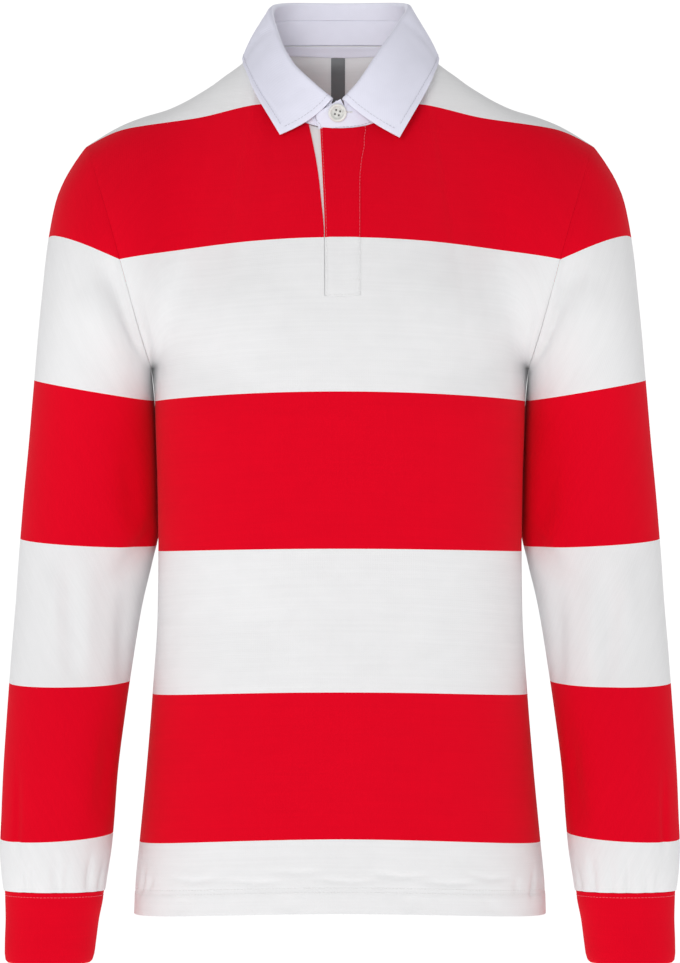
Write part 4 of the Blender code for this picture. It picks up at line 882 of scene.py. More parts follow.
def leaf_face(neck, share):
    """Face of the leaf from the stand's top up inside the neck, over the roll and down to its edge."""
    roll, edge = vectors(COLLAR, 1, share), vectors(COLLAR, 4, share)
    fall = column(COLLAR, 7, share)[:, None]
    along_roll = unit(np.gradient(roll, axis=0))

    def square(arrows):
        return unit(arrows - np.sum(arrows * along_roll, axis=1, keepdims=True) * along_roll)

    apex = unit(square(roll - neck) + square(roll - edge))
    outward = unit(np.cross(along_roll, apex))
    outward *= np.sign(np.sum(outward * (edge - neck), axis=1, keepdims=True))
    middle = roll - apex * ROLL_RADIUS
    start = middle - outward * ROLL_RADIUS
    foot = start + unit(neck - start) * fall
    face = [foot * (1 - t) + start * t for t in (0.0, 0.12, 0.3, 0.55, 0.8)]
    for turn in np.linspace(0.0, math.pi, BEND_STEPS + 1):
        face.append(middle - outward * ROLL_RADIUS * math.cos(turn) + apex * ROLL_RADIUS * math.sin(turn))
    last = face[-1]
    length = np.linalg.norm(edge - last, axis=1, keepdims=True)
    belly = last - apex * length * LEAF_BELLY
    for t in LEAF_STEPS:
        face.append(last * (1 - t) ** 2 + belly * 2 * t * (1 - t) + edge * t * t)
    return np.array(face)


def lap(seam, foot, top_out, top_in, rows, sign):
    """(feet, outer tops, inner tops) of the stand past a throat, from a table of its sections."""
    place = np.arange(len(rows))
    dense = np.linspace(0, len(rows) - 1, LAP_DENSITY * (len(rows) - 1) + 1)
    reach, drop, height, lean = (np.interp(dense, place, values) for values in np.array(rows).T)
    moved = (foot - at_x(seam, foot[:1])[0]) * [0.0, 1.0, 1.0]
    feet = at_x(seam, sign * reach) + moved
    feet[:, 2] -= drop
    rise = (top_out - foot) * [0.0, 1.0, 1.0]
    outer = feet + rise / rise[2] * height[:, None]
    outer[:, 0] += sign * lean
    return feet, outer, outer + (top_in - top_out) * [0.0, 1.0, 1.0]


def stand_walls(front, back):
    """Outer and inner points of the stand, and the leaf's face with its normals."""
    feet, share, run = neck_loop(front, back)
    from_middle = np.minimum(run, run[-1] + THROAT - run)
    step = LAP_STEP * (1 - ease(from_middle / LAP_FADE)) * np.where(share < 0.5, -1.0, 1.0)
    ahead = np.array([0.0, -1.0, 0.0]) * step[:, None]
    face = leaf_face(feet, share) + ahead
    normal = grid_normals(face, 1)
    feet = feet + ahead
    top_in = face[0] + unit(face[0] - face[1]) * SEAM_GAP
    top_out = top_in - normal[0] * THICK["twill"]
    seam = front[-1, SHOULDER_COLUMNS:-SHOULDER_COLUMNS]
    under = lap(seam, feet[0], top_out[0], top_in[0], LAP_UNDER, 1.0)
    over = lap(seam, feet[-1], top_out[-1], top_in[-1], LAP_OVER, -1.0)
    feet = np.concatenate([under[0][::-1], feet, over[0]])
    top_out = np.concatenate([under[1][::-1], top_out, over[1]])
    top_in = np.concatenate([under[2][::-1], top_in, over[2]])
    feet = feet + unit(top_out - feet) * SEAM_GAP
    inward = unit(np.cross(unit(np.gradient(feet, axis=0)), top_out - feet))
    feet_in = feet + inward * THICK["twill"]
    outer = np.array([feet * (1 - t) + top_out * t for t in STAND_STEPS])
    inner = np.array([feet_in * (1 - t) + top_in * t for t in STAND_STEPS])
    return outer, inner, face, normal


# ---------------------------------------------------------------- meshes


RIM_ANGLE = 55.0  # a wall's cut edges stay crisp, so no seam reads as a dark line


def cloth_wall(name, outer, inner, material, wrap=False, left_out=None, flip=False, stripes=None):
    """One closed cloth wall between two grids of points, with its stripes and its place on the cloth."""
    rows, cols = outer.shape[:2]
    across = cols if wrap else cols - 1
    kept = np.ones((rows - 1, across), bool)
    if left_out is not None:
        kept &= ~left_out
    row, col = np.nonzero(kept)
    corners = np.stack([
        np.stack([row, row, row + 1, row + 1], axis=1),
        np.stack([col, col + 1, col + 1, col], axis=1),
    ], axis=-1)
    total = rows * cols
    faces, places = [], []

    def add_faces(cells, order, behind):
        index = cells[..., 0] * cols + cells[..., 1] % cols + np.array(behind) * total
        faces.append(index[:, order])
        places.append(cells[:, order])

    add_faces(corners, [0, 1, 2, 3], 0)
    add_faces(corners, [3, 2, 1, 0], 1)
    beside = (((-1, 0), 0, 1), ((0, 1), 1, 2), ((1, 0), 2, 3), ((0, -1), 3, 0))
    for (step_row, step_col), start, end in beside:
        next_row, next_col = row + step_row, col + step_col
        if wrap:
            next_col = next_col % across
        inside = (next_row >= 0) & (next_row < rows - 1) & (next_col >= 0) & (next_col < across)
        full = np.zeros(len(row), bool)
        full[inside] = kept[next_row[inside], next_col[inside]]
        rim = corners[~full][:, [end, start, start, end]]
        add_faces(rim, [0, 1, 2, 3], [0, 0, 1, 1])
    faces, places = np.concatenate(faces), np.concatenate(places)
    if flip:
        faces, places = faces[:, ::-1], places[:, ::-1]
    points = np.concatenate([outer.reshape(-1, 3), inner.reshape(-1, 3)])
    used, compact = np.unique(faces, return_inverse=True)
    mesh = bpy.data.meshes.new(name)
    mesh.from_pydata((points[used] * MM).tolist(), [], compact.reshape(-1, 4).tolist())
    mesh.shade_smooth()
    mesh.set_sharp_from_angle(angle=math.radians(RIM_ANGLE))

    over, up = runs(outer, 1, wrap), runs(outer, 0)
    if wrap:
        up = np.concatenate([up, up[:, :1]], axis=1)
    else:
        over = over - over[:, cols // 2, None]
    cloth = np.stack([over, up, np.zeros_like(over)], axis=-1) * MM
    values = cloth[places[..., 0], places[..., 1]].reshape(-1, 3)
    mesh.attributes.new("cloth", "FLOAT_VECTOR", "CORNER").data.foreach_set("vector", values.ravel())
    if stripes is not None:
        values = np.concatenate([stripes.ravel(), stripes.ravel()])[used]
        mesh.attributes.new("stripe", "FLOAT", "POINT").data.foreach_set("value", values)
    return put(name, mesh, material)


def placed(name, data):
    """A new object in the scene."""
    made = bpy.data.objects.new(name, data)
    bpy.context.scene.collection.objects.link(made)
    return made


def put(name, mesh, material):
    """A new piece of the shirt, riding on it."""
    mesh.materials.append(material)
    made = placed(name, mesh)
    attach(made, "root")
    return made


def on_grid(points, normals, row, col):
    """(points, normals) of a grid at fractional rows and columns."""
    row, col = np.broadcast_arrays(np.asarray(row, float), np.asarray(col, float))
    low_row = np.clip(row.astype(int), 0, points.shape[0] - 2)
    low_col = np.clip(col.astype(int), 0, points.shape[1] - 2)
    up, over = (row - low_row)[..., None], (col - low_col)[..., None]
    read = []
    for grid in (points, normals):
        below = grid[low_row, low_col] * (1 - over) + grid[low_row, low_col + 1] * over
        above = grid[low_row + 1, low_col] * (1 - over) + grid[low_row + 1, low_col + 1] * over
        read.append(below * (1 - up) + above * up)
    return read[0], unit(read[1])


STITCH_RINGS = ((-0.5, 0.35), (-0.3, 1.0), (0.3, 1.0), (0.5, 0.35))  # share of its length, of its radius
STITCH_SIDES = 6
STITCH_DIVE, STITCH_PROUD = 0.9, 0.35  # how far its ends dive and its middle stands out, in radii
STITCH_AIM = 0.4  # a stitch points along the path from this far behind to this far ahead


def sewn(name, paths, material, length, pitch, radius, wander=0.0):
    """Rows of stitches: short threads that dive into the cloth at both ends, along paths with normals."""
    turn = np.arange(STITCH_SIDES) * 2 * math.pi / STITCH_SIDES
    template = np.array([
        (
            share * length,
            size * radius * math.cos(t),
            size * radius * math.sin(t) - (1 - size) * radius * STITCH_DIVE,
        )
        for share, size in STITCH_RINGS
        for t in turn
    ])
    sides = np.arange(STITCH_SIDES)
    quads = []
    for ring in range(len(STITCH_RINGS) - 1):
        low = ring * STITCH_SIDES
        quads.append(np.stack([
            low + sides,
            low + (sides + 1) % STITCH_SIDES,
            low + STITCH_SIDES + (sides + 1) % STITCH_SIDES,
            low + STITCH_SIDES + sides,
        ], axis=1))
    quads = np.concatenate(quads)
    caps = (tuple(sides[::-1]), tuple(sides + STITCH_SIDES * (len(STITCH_RINGS) - 1)))
    vertices, faces = [], []
    drift = np.random.default_rng(len(name))
    for points, normals in paths:
        run = run_of(points)
        count = int(run[-1] / pitch)
        if count < 1:
            continue
        at = (np.arange(count) + 0.5) * run[-1] / count
        middle = between(at, run, points)
        facing = unit(between(at, run, normals))
        way = unit(between(at + STITCH_AIM, run, points) - between(at - STITCH_AIM, run, points))
        aside = unit(np.cross(facing, way))
        middle = middle + aside * drift.normal(0.0, wander, (count, 1)) + facing * radius * STITCH_PROUD
        for k in range(count):
            start = len(vertices) * len(template)
            frame_axes = np.stack([way[k], aside[k], facing[k]])
            vertices.append(middle[k] + template @ frame_axes)
            faces += (quads + start).tolist()
            faces += [tuple(corner + start for corner in cap) for cap in caps]
    mesh = bpy.data.meshes.new(name)
    mesh.from_pydata((np.concatenate(vertices) * MM).tolist(), [], faces)
    mesh.shade_smooth()
    return put(name, mesh, material)


# ---------------------------------------------------------------- materials


def linear(colour):
    """Linear colour of an sRGB hex value."""
    shares = [int(colour[k : k + 2], 16) / 255 for k in (1, 3, 5)]
    return tuple(s / 12.92 if s <= 0.04045 else ((s + 0.055) / 1.055) ** 2.4 for s in shares)


def add_node(tree, kind, settings=None, inputs=None):
    """Add a node, set its properties, and fill its inputs with values or with other nodes' outputs."""
    made = tree.nodes.new(kind)
    for name, value in (settings or {}).items():
        setattr(made, name, value)
    for socket, value in (inputs or {}).items():
        if isinstance(value, bpy.types.NodeSocket):
            tree.links.new(value, made.inputs[socket])
        else:
            made.inputs[socket].default_value = value
    return made


def new_material(name, **sockets):
    """A material with its shader's constants set: name, node tree and shader."""
    made = bpy.data.materials.new(name)
    made.use_nodes = True
    shader = made.node_tree.nodes["Principled BSDF"]
    for socket, value in sockets.items():
        shader.inputs[socket.replace("_", " ")].default_value = value
    return made, made.node_tree, shader


def grain(tree, scale, stretch, detail=3.0):
    """Noise on the cloth's own coordinates, drawn out along one of them."""
    place = add_node(tree, "ShaderNodeAttribute", {"attribute_name": "cloth"})
    moved = add_node(tree, "ShaderNodeMapping", {}, {"Vector": place.outputs["Vector"], "Scale": stretch})
    settings = {"Vector": moved.outputs["Vector"], "Scale": scale, "Detail": detail}
    return add_node(tree, "ShaderNodeTexNoise", {}, settings).outputs["Fac"]


def object_grain(tree, **settings):
    """Noise on the object's own coordinates."""
    place = add_node(tree, "ShaderNodeTexCoord").outputs["Object"]
    return add_node(tree, "ShaderNodeTexNoise", {}, {"Vector": place, **settings}).outputs["Fac"]


def bands(tree, period, direction, turn=0.0, distortion=0.0):
    """Bands a period apart, in metres, on the cloth's own coordinates."""
    place = add_node(tree, "ShaderNodeAttribute", {"attribute_name": "cloth"}).outputs["Vector"]
    moved = add_node(tree, "ShaderNodeMapping", {}, {"Vector": place, "Rotation": (0.0, 0.0, turn)})
    kind = {"wave_type": "BANDS", "bands_direction": direction, "wave_profile": "SIN"}
    settings = {"Scale": 2 * math.pi / (20 * period), "Distortion": distortion, "Detail": 1.0}
    settings["Vector"] = moved.outputs["Vector"]
    return add_node(tree, "ShaderNodeTexWave", kind, settings).outputs["Fac"]


def dye(tree, colour):
    """A plain colour as a node's output, so that patterns can shade it."""
    dyed = add_node(tree, "ShaderNodeRGB").outputs[0]
    dyed.default_value = (*colour, 1.0)
    return dyed


def scaled(tree, colour, level):
    mixed = add_node(tree, "ShaderNodeVectorMath", {"operation": "SCALE"}, {0: colour, "Scale": level})
    return mixed.outputs[0]


def shaded(tree, colour, factor, low, high=1.0):
    """A colour that a pattern makes slightly darker where its value is low."""
    reach = {"Value": factor, "From Min": 0.3, "From Max": 0.7, "To Min": low, "To Max": high}
    return scaled(tree, colour, add_node(tree, "ShaderNodeMapRange", {}, reach).outputs[0])


def worked_out(tree, operation, first, second):
    """The outcome of one operation on two values."""
    return add_node(tree, "ShaderNodeMath", {"operation": operation}, {0: first, 1: second}).outputs[0]


def coloured(tree, shader, colour, height=None, strength=0.0, distance=0.0):
    """Give a shader its colour, and the height that its surface rises and falls by."""
    tree.links.new(colour, shader.inputs["Base Color"])
    if height is not None:
        relief = {"Height": height, "Strength": strength, "Distance": distance}
        bump = add_node(tree, "ShaderNodeBump", {}, relief)
        tree.links.new(bump.outputs["Normal"], shader.inputs["Normal"])


EVEN = (1.0, 1.0, 1.0)


# Combed cotton single jersey, circular knit: matt, with fine upright wales and a short fuzz that lifts its
# edges. Wales are 1.0 mm and courses 0.8 mm apart; both are drawn at about twice that, so that they show.
# With two dyes it is striped: they take turns at each stripe edge.
WALE, COURSE = 0.0019, 0.0015


def cotton_jersey(name, *dyes):
    made, tree, shader = new_material(
        name,
        Roughness=0.92,
        IOR=1.45,
        Specular_IOR_Level=0.06,
        Sheen_Weight=0.03,
        Sheen_Roughness=0.5,
    )
    if len(dyes) == 1:
        dyed = dye(tree, *dyes)
    else:
        stripe = add_node(tree, "ShaderNodeAttribute", {"attribute_name": "stripe"})
        ramp = add_node(tree, "ShaderNodeValToRGB", {}, {"Fac": stripe.outputs["Fac"]})
        ramp.color_ramp.interpolation = "CONSTANT"
        for k in range(1, 7):
            if k > 1:
                ramp.color_ramp.elements.new((k - 0.5) / 8)
            ramp.color_ramp.elements[k].position = (k - 0.5) / 8
        for k, element in enumerate(ramp.color_ramp.elements):
            element.color = (*dyes[k % 2], 1.0)
        dyed = ramp.outputs["Color"]
    streaks = grain(tree, 1.0, (9.0, 420.0, 1.0), detail=2.0)
    clouds = grain(tree, 38.0, (1.0, 1.6, 1.0))
    toned = shaded(tree, shaded(tree, dyed, streaks, 0.975), clouds, 0.975)
    wales, courses = bands(tree, WALE, "X", distortion=0.6), bands(tree, COURSE, "Y", distortion=0.4)
    knit = worked_out(tree, "MULTIPLY", wales, courses)
    coloured(tree, shader, toned, worked_out(tree, "ADD", knit, grain(tree, 900.0, EVEN)), 0.22, 0.00022)
    return made


# Bleached cotton twill, woven: smoother and a little cooler than the jersey, with fine diagonal ribs.
# The ribs are 0.8 mm apart, drawn at 1.5 mm so that they show.
TWILL_RIB = 0.0015


def cotton_twill(name, colour):
    made, tree, shader = new_material(
        name,
        Roughness=0.82,
        IOR=1.45,
        Specular_IOR_Level=0.3,
        Sheen_Weight=0.08,
        Sheen_Roughness=0.45,
    )
    ribs = bands(tree, TWILL_RIB, "X", turn=math.radians(58), distortion=0.5)
    toned = shaded(tree, shaded(tree, dye(tree, colour), ribs, 0.985), grain(tree, 60.0, EVEN), 0.97)
    coloured(tree, shader, toned, worked_out(tree, "ADD", ribs, grain(tree, 1100.0, EVEN)), 0.2, 0.0002)
    return made


# Woven polyester satin: dense and dark, with a soft shine along its fine cross threads.
def polyester_satin(name, colour):
    made, tree, shader = new_material(name, Roughness=0.42, IOR=1.5, Specular_IOR_Level=0.5)
    threads = bands(tree, 0.0009, "Y", distortion=0.3)
    clouds = grain(tree, 90.0, (1.0, 3.0, 1.0))
    toned = shaded(tree, shaded(tree, dye(tree, colour), threads, 0.9), clouds, 0.94)
    coloured(tree, shader, toned, threads, 0.25, 0.0001)
    return made


# Cast polyester resin, turned and tumbled: off-white, softly shiny, with faint clouds in the casting, and
# painted shade in its hollows, where an ambient occlusion node darkens the colour.
def cast_resin(name, colour):
    made, tree, shader = new_material(name, Roughness=0.32, IOR=1.53, Coat_Weight=0.25, Coat_Roughness=0.18)
    clouds = object_grain(tree, Scale=240.0, Detail=4.0, Distortion=1.2)
    cast = shaded(tree, dye(tree, colour), clouds, 0.93)
    # Painted shade: the ambient occlusion darkens the colour in the holes and under the rim.
    hollow = add_node(tree, "ShaderNodeAmbientOcclusion", {"samples": 12}, {"Distance": 0.0016})
    painted_hollow_shade = scaled(tree, cast, worked_out(tree, "POWER", hollow.outputs["AO"], 1.6))
    coloured(tree, shader, painted_hollow_shade, object_grain(tree, Scale=2600.0), 0.08, 0.00005)
    return made


# Spun polyester sewing thread: two plies twisted, with a slight shine.
def spun_thread(name, colour):
    made, tree, shader = new_material(name, Roughness=0.6, IOR=1.5, Sheen_Weight=0.2)
    plies = object_grain(tree, Scale=1800.0, Detail=2.0)
    coloured(tree, shader, shaded(tree, dye(tree, colour), plies, 0.88))
    return made


# Matt painted studio floor: pale, even, with the faintest roller texture.
def matt_paint(name, colour, glow):
    made, tree, shader = new_material(name, Roughness=0.95, IOR=1.45, Specular_IOR_Level=0.1)
    coloured(tree, shader, shaded(tree, dye(tree, colour), object_grain(tree, Scale=14.0), 0.99))
    shader.inputs["Emission Color"].default_value = (1.0, 1.0, 1.0, 1.0)
    shader.inputs["Emission Strength"].default_value = glow
    return made


FINISHES = {  # maker, the material's name, its dyes among the colour settings
    "red_and_white_jersey": (cotton_jersey, "striped cotton jersey", "white_cloth", "red_cloth"),
    "red_jersey": (cotton_jersey, "red cotton jersey", "red_cloth"),
    "white_jersey": (cotton_jersey, "white cotton jersey", "white_cloth"),
    "white_twill": (cotton_twill, "bleached cotton twill", "twill"),
    "white_twill_painted_light": (cotton_twill, "bleached cotton twill, paler as painted light", "twill_painted_light"),
    "grey_satin": (polyester_satin, "woven polyester satin", "label"),
    "white_resin": (cast_resin, "cast polyester resin", "button"),
    "white_thread": (spun_thread, "spun polyester thread", "thread"),
    "twill_thread": (spun_thread, "pale spun polyester thread", "twill_thread"),
    "hole_shade_thread": (spun_thread, "dark grey thread, painted shade in the holes", "hole_shade_thread"),
    "red_thread": (spun_thread, "red spun polyester thread", "red_thread"),
}


@lru_cache(maxsize=None)
def finish(name):
    """One of the shirt's materials, made once."""
    maker, title, *dyes = FINISHES[name]
    return maker(title, *(getattr(bpy.context.scene.shirt_colours, dyed) for dyed in dyes))


# ---------------------------------------------------------------- pieces


@lru_cache(maxsize=None)
def shapes():
    return Shapes()


def add_cloth(name, outer, inner, node, slot, flat, held, rests_on=(), area=None, look=None, **wall):
    """A wall of cloth, with the node that it stands for, which it hides. The size that it was cut to is not
    used.
    """
    piece = cloth_wall(name, outer, inner, finish(look or slot), **wall)
    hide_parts(node)
    return piece


def make_panels():
    """The front and the back. Gives the inner points of the back."""
    form = shapes()
    last = SHOULDER_COLUMNS + 1
    front_out, back_out = form.front_normals.copy(), form.back_normals.copy()
    for col in (0, -1):
        shared = mitre(form.front_normals[: ARM_ROW + 1, col], form.back_normals[: ARM_ROW + 1, col])
        front_out[: ARM_ROW + 1, col] = back_out[: ARM_ROW + 1, col] = shared
    for span in (slice(0, last), slice(-last, None)):
        shared = mitre(form.front_normals[-1, span], form.back_normals[-1, span])
        front_out[-1, span] = back_out[-1, span] = shared
    levels = np.concatenate([RINGS, np.zeros(len(ROWS))])
    thickness = THICK["jersey"] + THICK["hem"] * (levels < HEM_FOLD)
    vent = np.clip((VENT_TOP - levels) / (VENT_TOP - HEM_LEVEL), 0, 1)
    vent[len(RINGS) :] = 0.0
    for name, side, points, normals, offset in (
        ("front", -1, form.front, form.front_normals, front_out),
        ("back", 1, form.back, form.back_normals, back_out),
    ):
        moved = pulled_back(points, rows=((-1, -2),), columns=((0, 1), (-1, -2)))
        for col, neighbour in ((0, 1), (-1, -2)):
            moved[:, col] += unit(points[:, neighbour] - points[:, col]) * (VENT_GAPE / 2 * vent)[:, None]
        inner = moved - offset * thickness[:, None, None]
        across = runs(points, 1)
        up = runs(points, 0)
        dip = seam_dip(across, across[:, -1:] - across, up[-1:] - up, up[-1:] - up - SHOULDER_LINE)
        left_out = np.zeros((len(points) - 1, points.shape[1] - 1), bool)
        if side < 0:
            left_out[SLIT_ROW:, SLIT_COLUMN : SLIT_COLUMN + CELLS["slit"]] = True
        flat, area = PANEL_FLAT[name]
        add_cloth(
            f"jersey_{name}",
            moved - normals * dip[..., None],
            inner,
            name,
            "red_and_white_jersey",
            flat,
            "draped",
            area=area,
            left_out=left_out,
            flip=side > 0,
            stripes=stripe_of(points, side),
        )
    return inner


def on_side(side, *grids):
    """Grids of the +X side as they are, or mirrored to the other side."""
    return grids if side > 0 else [mirrored(grid) for grid in grids]


def make_sleeves():
    for name, (points, normals), side in zip(("left", "right"), shapes().sleeves, (1, -1)):
        moved = pulled_back(points, rows=((0, 1), (-1, -2)))
        inner = moved - normals * THICK["jersey"]
        down = runs(points, 0)
        dip = seam_dip(down, down[-1:] - down)
        flat, area = SLEEVE_FLAT
        add_cloth(
            f"jersey_sleeve_{name}",
            *on_side(side, moved - normals * dip[..., None], inner),
            f"sleeve_{name}",
            "red_and_white_jersey",
            flat,
            "draped",
            area=area,
            wrap=True,
            flip=side > 0,
            stripes=stripe_of(points),
        )


def cuff_face(creases):
    """Outer points of the +X cuff, with its folded lower edge rounded."""
    share = np.arange(CUFF_COLUMNS) / CUFF_COLUMNS
    top, bottom = CUFF[0][0], CUFF[-1][0]
    levels = [*(top - down for down in CUFF_TOP_ROWS), *np.linspace(top - 3.0, bottom + 3.0, 14)]
    levels += [bottom + up for up in CUFF_FOOT_ROWS]
    points = np.array([tube_ring(CUFF, level, share) for level in levels])
    normals = grid_normals(points, -1, wrap=True)
    depth = creased(np.broadcast_to(share * SLEEVE_GIRTH, points.shape[:-1]), points[..., 2], creases)
    fade = ease((top - points[..., 2]) / 6.0)
    groove = STITCH_DIP * bell(points[..., 2] - CUFF_STITCH, FINE_REACH)
    points = points - normals * (depth * fade + groove)[..., None]
    return points, grid_normals(points, -1, wrap=True)


def make_cuffs():
    for name, creases, side in (("left", LEFT_CUFF_CREASES, 1), ("right", RIGHT_CUFF_CREASES, -1)):
        points, normals = cuff_face(creases)
        down = runs(points, 0)
        outer = points - normals * seam_dip(down)[..., None]
        walls = on_side(side, outer, points - normals * THICK["cuff"])
        ends = {"wrap": True, "flip": side > 0}
        add_cloth(f"cuff_{name}_band", *walls, f"cuff_{name}", "red_jersey", CUFF_FLAT, "draped", **ends)


def strip(line, normals, x):
    """(points, outward directions without any sideways part) of a row of a panel at the given x."""
    facing = at_x(np.column_stack([line[:, 0], normals[:, 1:]]), x) * [0.0, 1.0, 1.0]
    return at_x(line, x), unit(facing)


@lru_cache(maxsize=None)
def fly_grids():
    """The fly's and the underlay's faces with the ways that they face, bottom to top."""
    form = shapes()
    slit = slice(SLIT_COLUMN, SLIT_COLUMN + CELLS["slit"] + 1)
    fly, under = [], []
    for line, facing in zip(form.front[SLIT_ROW:], form.front_normals[SLIT_ROW:]):
        z = line[slit, 2].mean()
        left, right = column(FLY_LEFT, 1, z) + HALF_GAP, column(SLIT_RIGHT, 1, z) - HALF_GAP
        across = left + (right - left) * FLY_SHARES
        fly.append(strip(line, facing, across))
        edges = line[slit, 0]
        wide = [*(edges[0] + UNDERLAY_LEFT), *edges, *(edges[-1] + UNDERLAY_RIGHT)]
        under.append(strip(line, facing, wide))
    return [tuple(np.array(part) for part in zip(*grid)) for grid in (fly, under)]


def make_placket():
    """The fly that fills the slit, and the underlay that shows as a sliver beside it."""
    (points, facing), (under, under_facing) = fly_grids()
    share = np.linspace(-1, 1, points.shape[1])
    points = pulled_back(points, rows=((0, 1),), by=SEAM_GAP)
    short = np.interp(np.arange(points.shape[1]), np.linspace(0, points.shape[1] - 1, 4), FLY_SHORT)
    points = pulled_back(points, rows=((-1, -2),), by=short[:, None])
    up, across = runs(points, 0), runs(points, 1)
    side_dip, box_dip = STITCH_DIP * 0.8, STITCH_DIP * 0.3
    groove = side_dip * bell(across - FLY_STITCH, FLY_STITCH_REACH) * (points[..., 2] > FLY_STRIPE)
    groove += box_dip * bell(up - FLY_BOX, FINE_REACH)
    right = across[:, -1:] - across
    round_edge = FLY_ROUND * sum(bell(way, FLY_ROUND_REACH) for way in (across, right, up))
    add_cloth(
        "placket_fly",
        points + facing * (FLY_PROUD - groove - round_edge + FLY_BELLY * (1 - share**2))[..., None],
        points + facing * (FLY_PROUD - FLY_CLOTH),
        "placket_top",
        "red_and_white_jersey",
        FLY_FLAT,
        "folded",
        ("jersey_front",),
        stripes=stripe_of(points, -1),
    )

    below = at_x(shapes().front[SLIT_ROW - 1], under[0][:, 0])
    under = np.concatenate([[below], under])
    under_facing = np.concatenate([under_facing[:1], under_facing])
    under = pulled_back(under, rows=((-1, -2),), by=SEAM_GAP)
    outer = under - under_facing * UNDERLAY_SINK
    inner = outer - under_facing * THICK["underlay"]
    held = (UNDERLAY_FLAT, "folded", ("jersey_front",))
    add_cloth("placket_underlay", outer, inner, "placket_under", "white_jersey", *held)


def collar_creases(face, normal):
    """The leaf's face with its soft bends, which are strongest near the shoulders."""
    share = np.linspace(0.0, 1.0, face.shape[1])
    height = np.linspace(0.0, 1.0, face.shape[0])[:, None]
    depth = np.zeros(face.shape[:2])
    for at, lean, width, deep in LEAF_BENDS:
        apart = share[None, :] - at - lean * (height - 0.7)
        depth += deep * bell(apart, width) * ease((height - 0.25) / 0.35)
    return face - normal * depth[..., None]


@lru_cache(maxsize=None)
def collar_grids():
    form = shapes()
    outer, inner, face, normal = stand_walls(form.front, form.back)
    face = collar_creases(face, normal)
    return outer, inner, face, grid_normals(face, 1)


def lighten_inside(piece):
    """Gives the faces that look in at the neck a paler twill: painted light on the shade inside the neck."""
    mesh = piece.data
    mesh.materials.append(finish("white_twill_painted_light"))
    for face in mesh.polygons:
        from_neck = Vector((face.center.x, face.center.y - NECK_MIDDLE * MM, 0.0))
        if face.normal.dot(from_neck.normalized()) < INSIDE_TURN:
            face.material_index = len(mesh.materials) - 1


def make_collar():
    outer, inner, face, normal = collar_grids()
    around = runs(outer, 1)
    up = runs(outer, 0)
    end = np.minimum(around, around[:, -1:] - around)
    facing = unit(outer - inner)
    dip = STAND_ROUND * (bell(up, STAND_ROUND_REACH) + bell(up[-1:] - up, STAND_ROUND_REACH))
    dip += BAND_ROUND * bell(end, FINE_REACH)
    seam = STAND_SEAM * bell(up[-1:] - up, STAND_SEAM_REACH)
    flat, area = STAND_FLAT
    stand = add_cloth(
        "collar_stand_band",
        outer - facing * dip[..., None],
        inner + facing * seam[..., None],
        "collar_stand",
        "white_twill",
        flat,
        "folded",
        ("jersey_back",),
        area,
        flip=True,
    )
    lighten_inside(stand)

    down, across = runs(face, 0), runs(face, 1)
    low, side = down[-1:] - down, np.minimum(across, across[:, -1:] - across)
    groove = bell(low - LEAF_STITCH, STITCH_REACH) * (side > LEAF_STITCH - 1)
    groove += bell(side - LEAF_STITCH, STITCH_REACH) * (low > LEAF_STITCH - 1)
    groove *= LEAF_DIP * (down > down[5:6] + 4.0)
    plump = BAND_ROUND * bell(low, FINE_REACH) + BAND_ROUND * bell(side, FINE_REACH)
    shown, back = face - normal * (groove + plump)[..., None], face - normal * THICK["twill"]
    flat, area = LEAF_FLAT
    held = (flat, "folded", ("collar_stand_band",), area)
    lighten_inside(add_cloth("collar_leaf_cloth", shown, back, "collar_leaf", "white_twill", *held))


def below_top(grid, distances):
    """Rows of a panel's grid at distances below its top row, measured down the middle column."""
    down = grid[::-1]
    depth = run_of(down[:, grid.shape[1] // 2])
    place = np.interp(distances, depth, np.arange(len(depth)))
    row = np.minimum(place.astype(int), len(grid) - 2)
    part = (place - row)[:, None, None]
    return down[row] * (1 - part) + down[row + 1] * part


def make_neck_inside(inner):
    """The tape over the back neck seam, and the bare label that hangs from it."""
    neck = slice(SHOULDER_COLUMNS + 6, -SHOULDER_COLUMNS - 6)
    inside = inner[:, neck]
    facing = grid_normals(inner, 1)[-1, neck]
    tape = below_top(inside, TAPE_START + TAPE_ROWS[::-1]) + facing * TAPE_LIFT
    edge = np.minimum(TAPE_ROWS, TAPE_ROWS[-1] - TAPE_ROWS)[::-1, None, None]
    shown = tape + facing * (THICK["tape"] - 0.35 * bell(edge, 0.6))
    # The tape gets the paler twill too: painted light on the shade inside the neck.
    held, look = (TAPE_FLAT, "folded", ("jersey_back",)), "white_twill_painted_light"
    add_cloth("back_neck_tape", shown, tape, "neck_tape", "white_twill", *held, look=look)

    distances = LABEL_START + LABEL_LENGTH * np.array([*np.linspace(1.0, 0.03, 24), 0.012, 0.0])
    rows = below_top(inside, distances)
    across = LABEL_MIDDLE + LABEL_WIDTH / 2 * LABEL_SHARES
    label = np.array([at_x(row, across) for row in rows])
    toward = grid_normals(label, 1)
    lift = LABEL_LIFT * ease((distances - LABEL_START) / LABEL_LENGTH)[:, None, None]
    label = label + toward * (TAPE_LIFT + lift)
    edge = 0.25 * np.abs(LABEL_SHARES[None, :, None]) ** 6
    shown = label + toward * (THICK["label"] - edge)
    held = (LABEL_FLAT, "hung", ("back_neck_tape",))
    add_cloth("bare_neck_label", shown, label, "neck_label", "grey_satin", *held)


def hem_paths():
    form = shapes()
    paths = []
    for points, normals in ((form.front, form.front_normals), (form.back, form.back_normals)):
        cols = np.linspace(0.6, points.shape[1] - 1.6, 700)
        for level in HEM_STITCHES:
            row = float(np.interp(level, RINGS, np.arange(len(RINGS))))
            paths.append(on_grid(points, normals, row, cols))
    return paths


def part_of(path, kept):
    """The points of a path that are kept, with their normals."""
    return path[0][kept], path[1][kept]


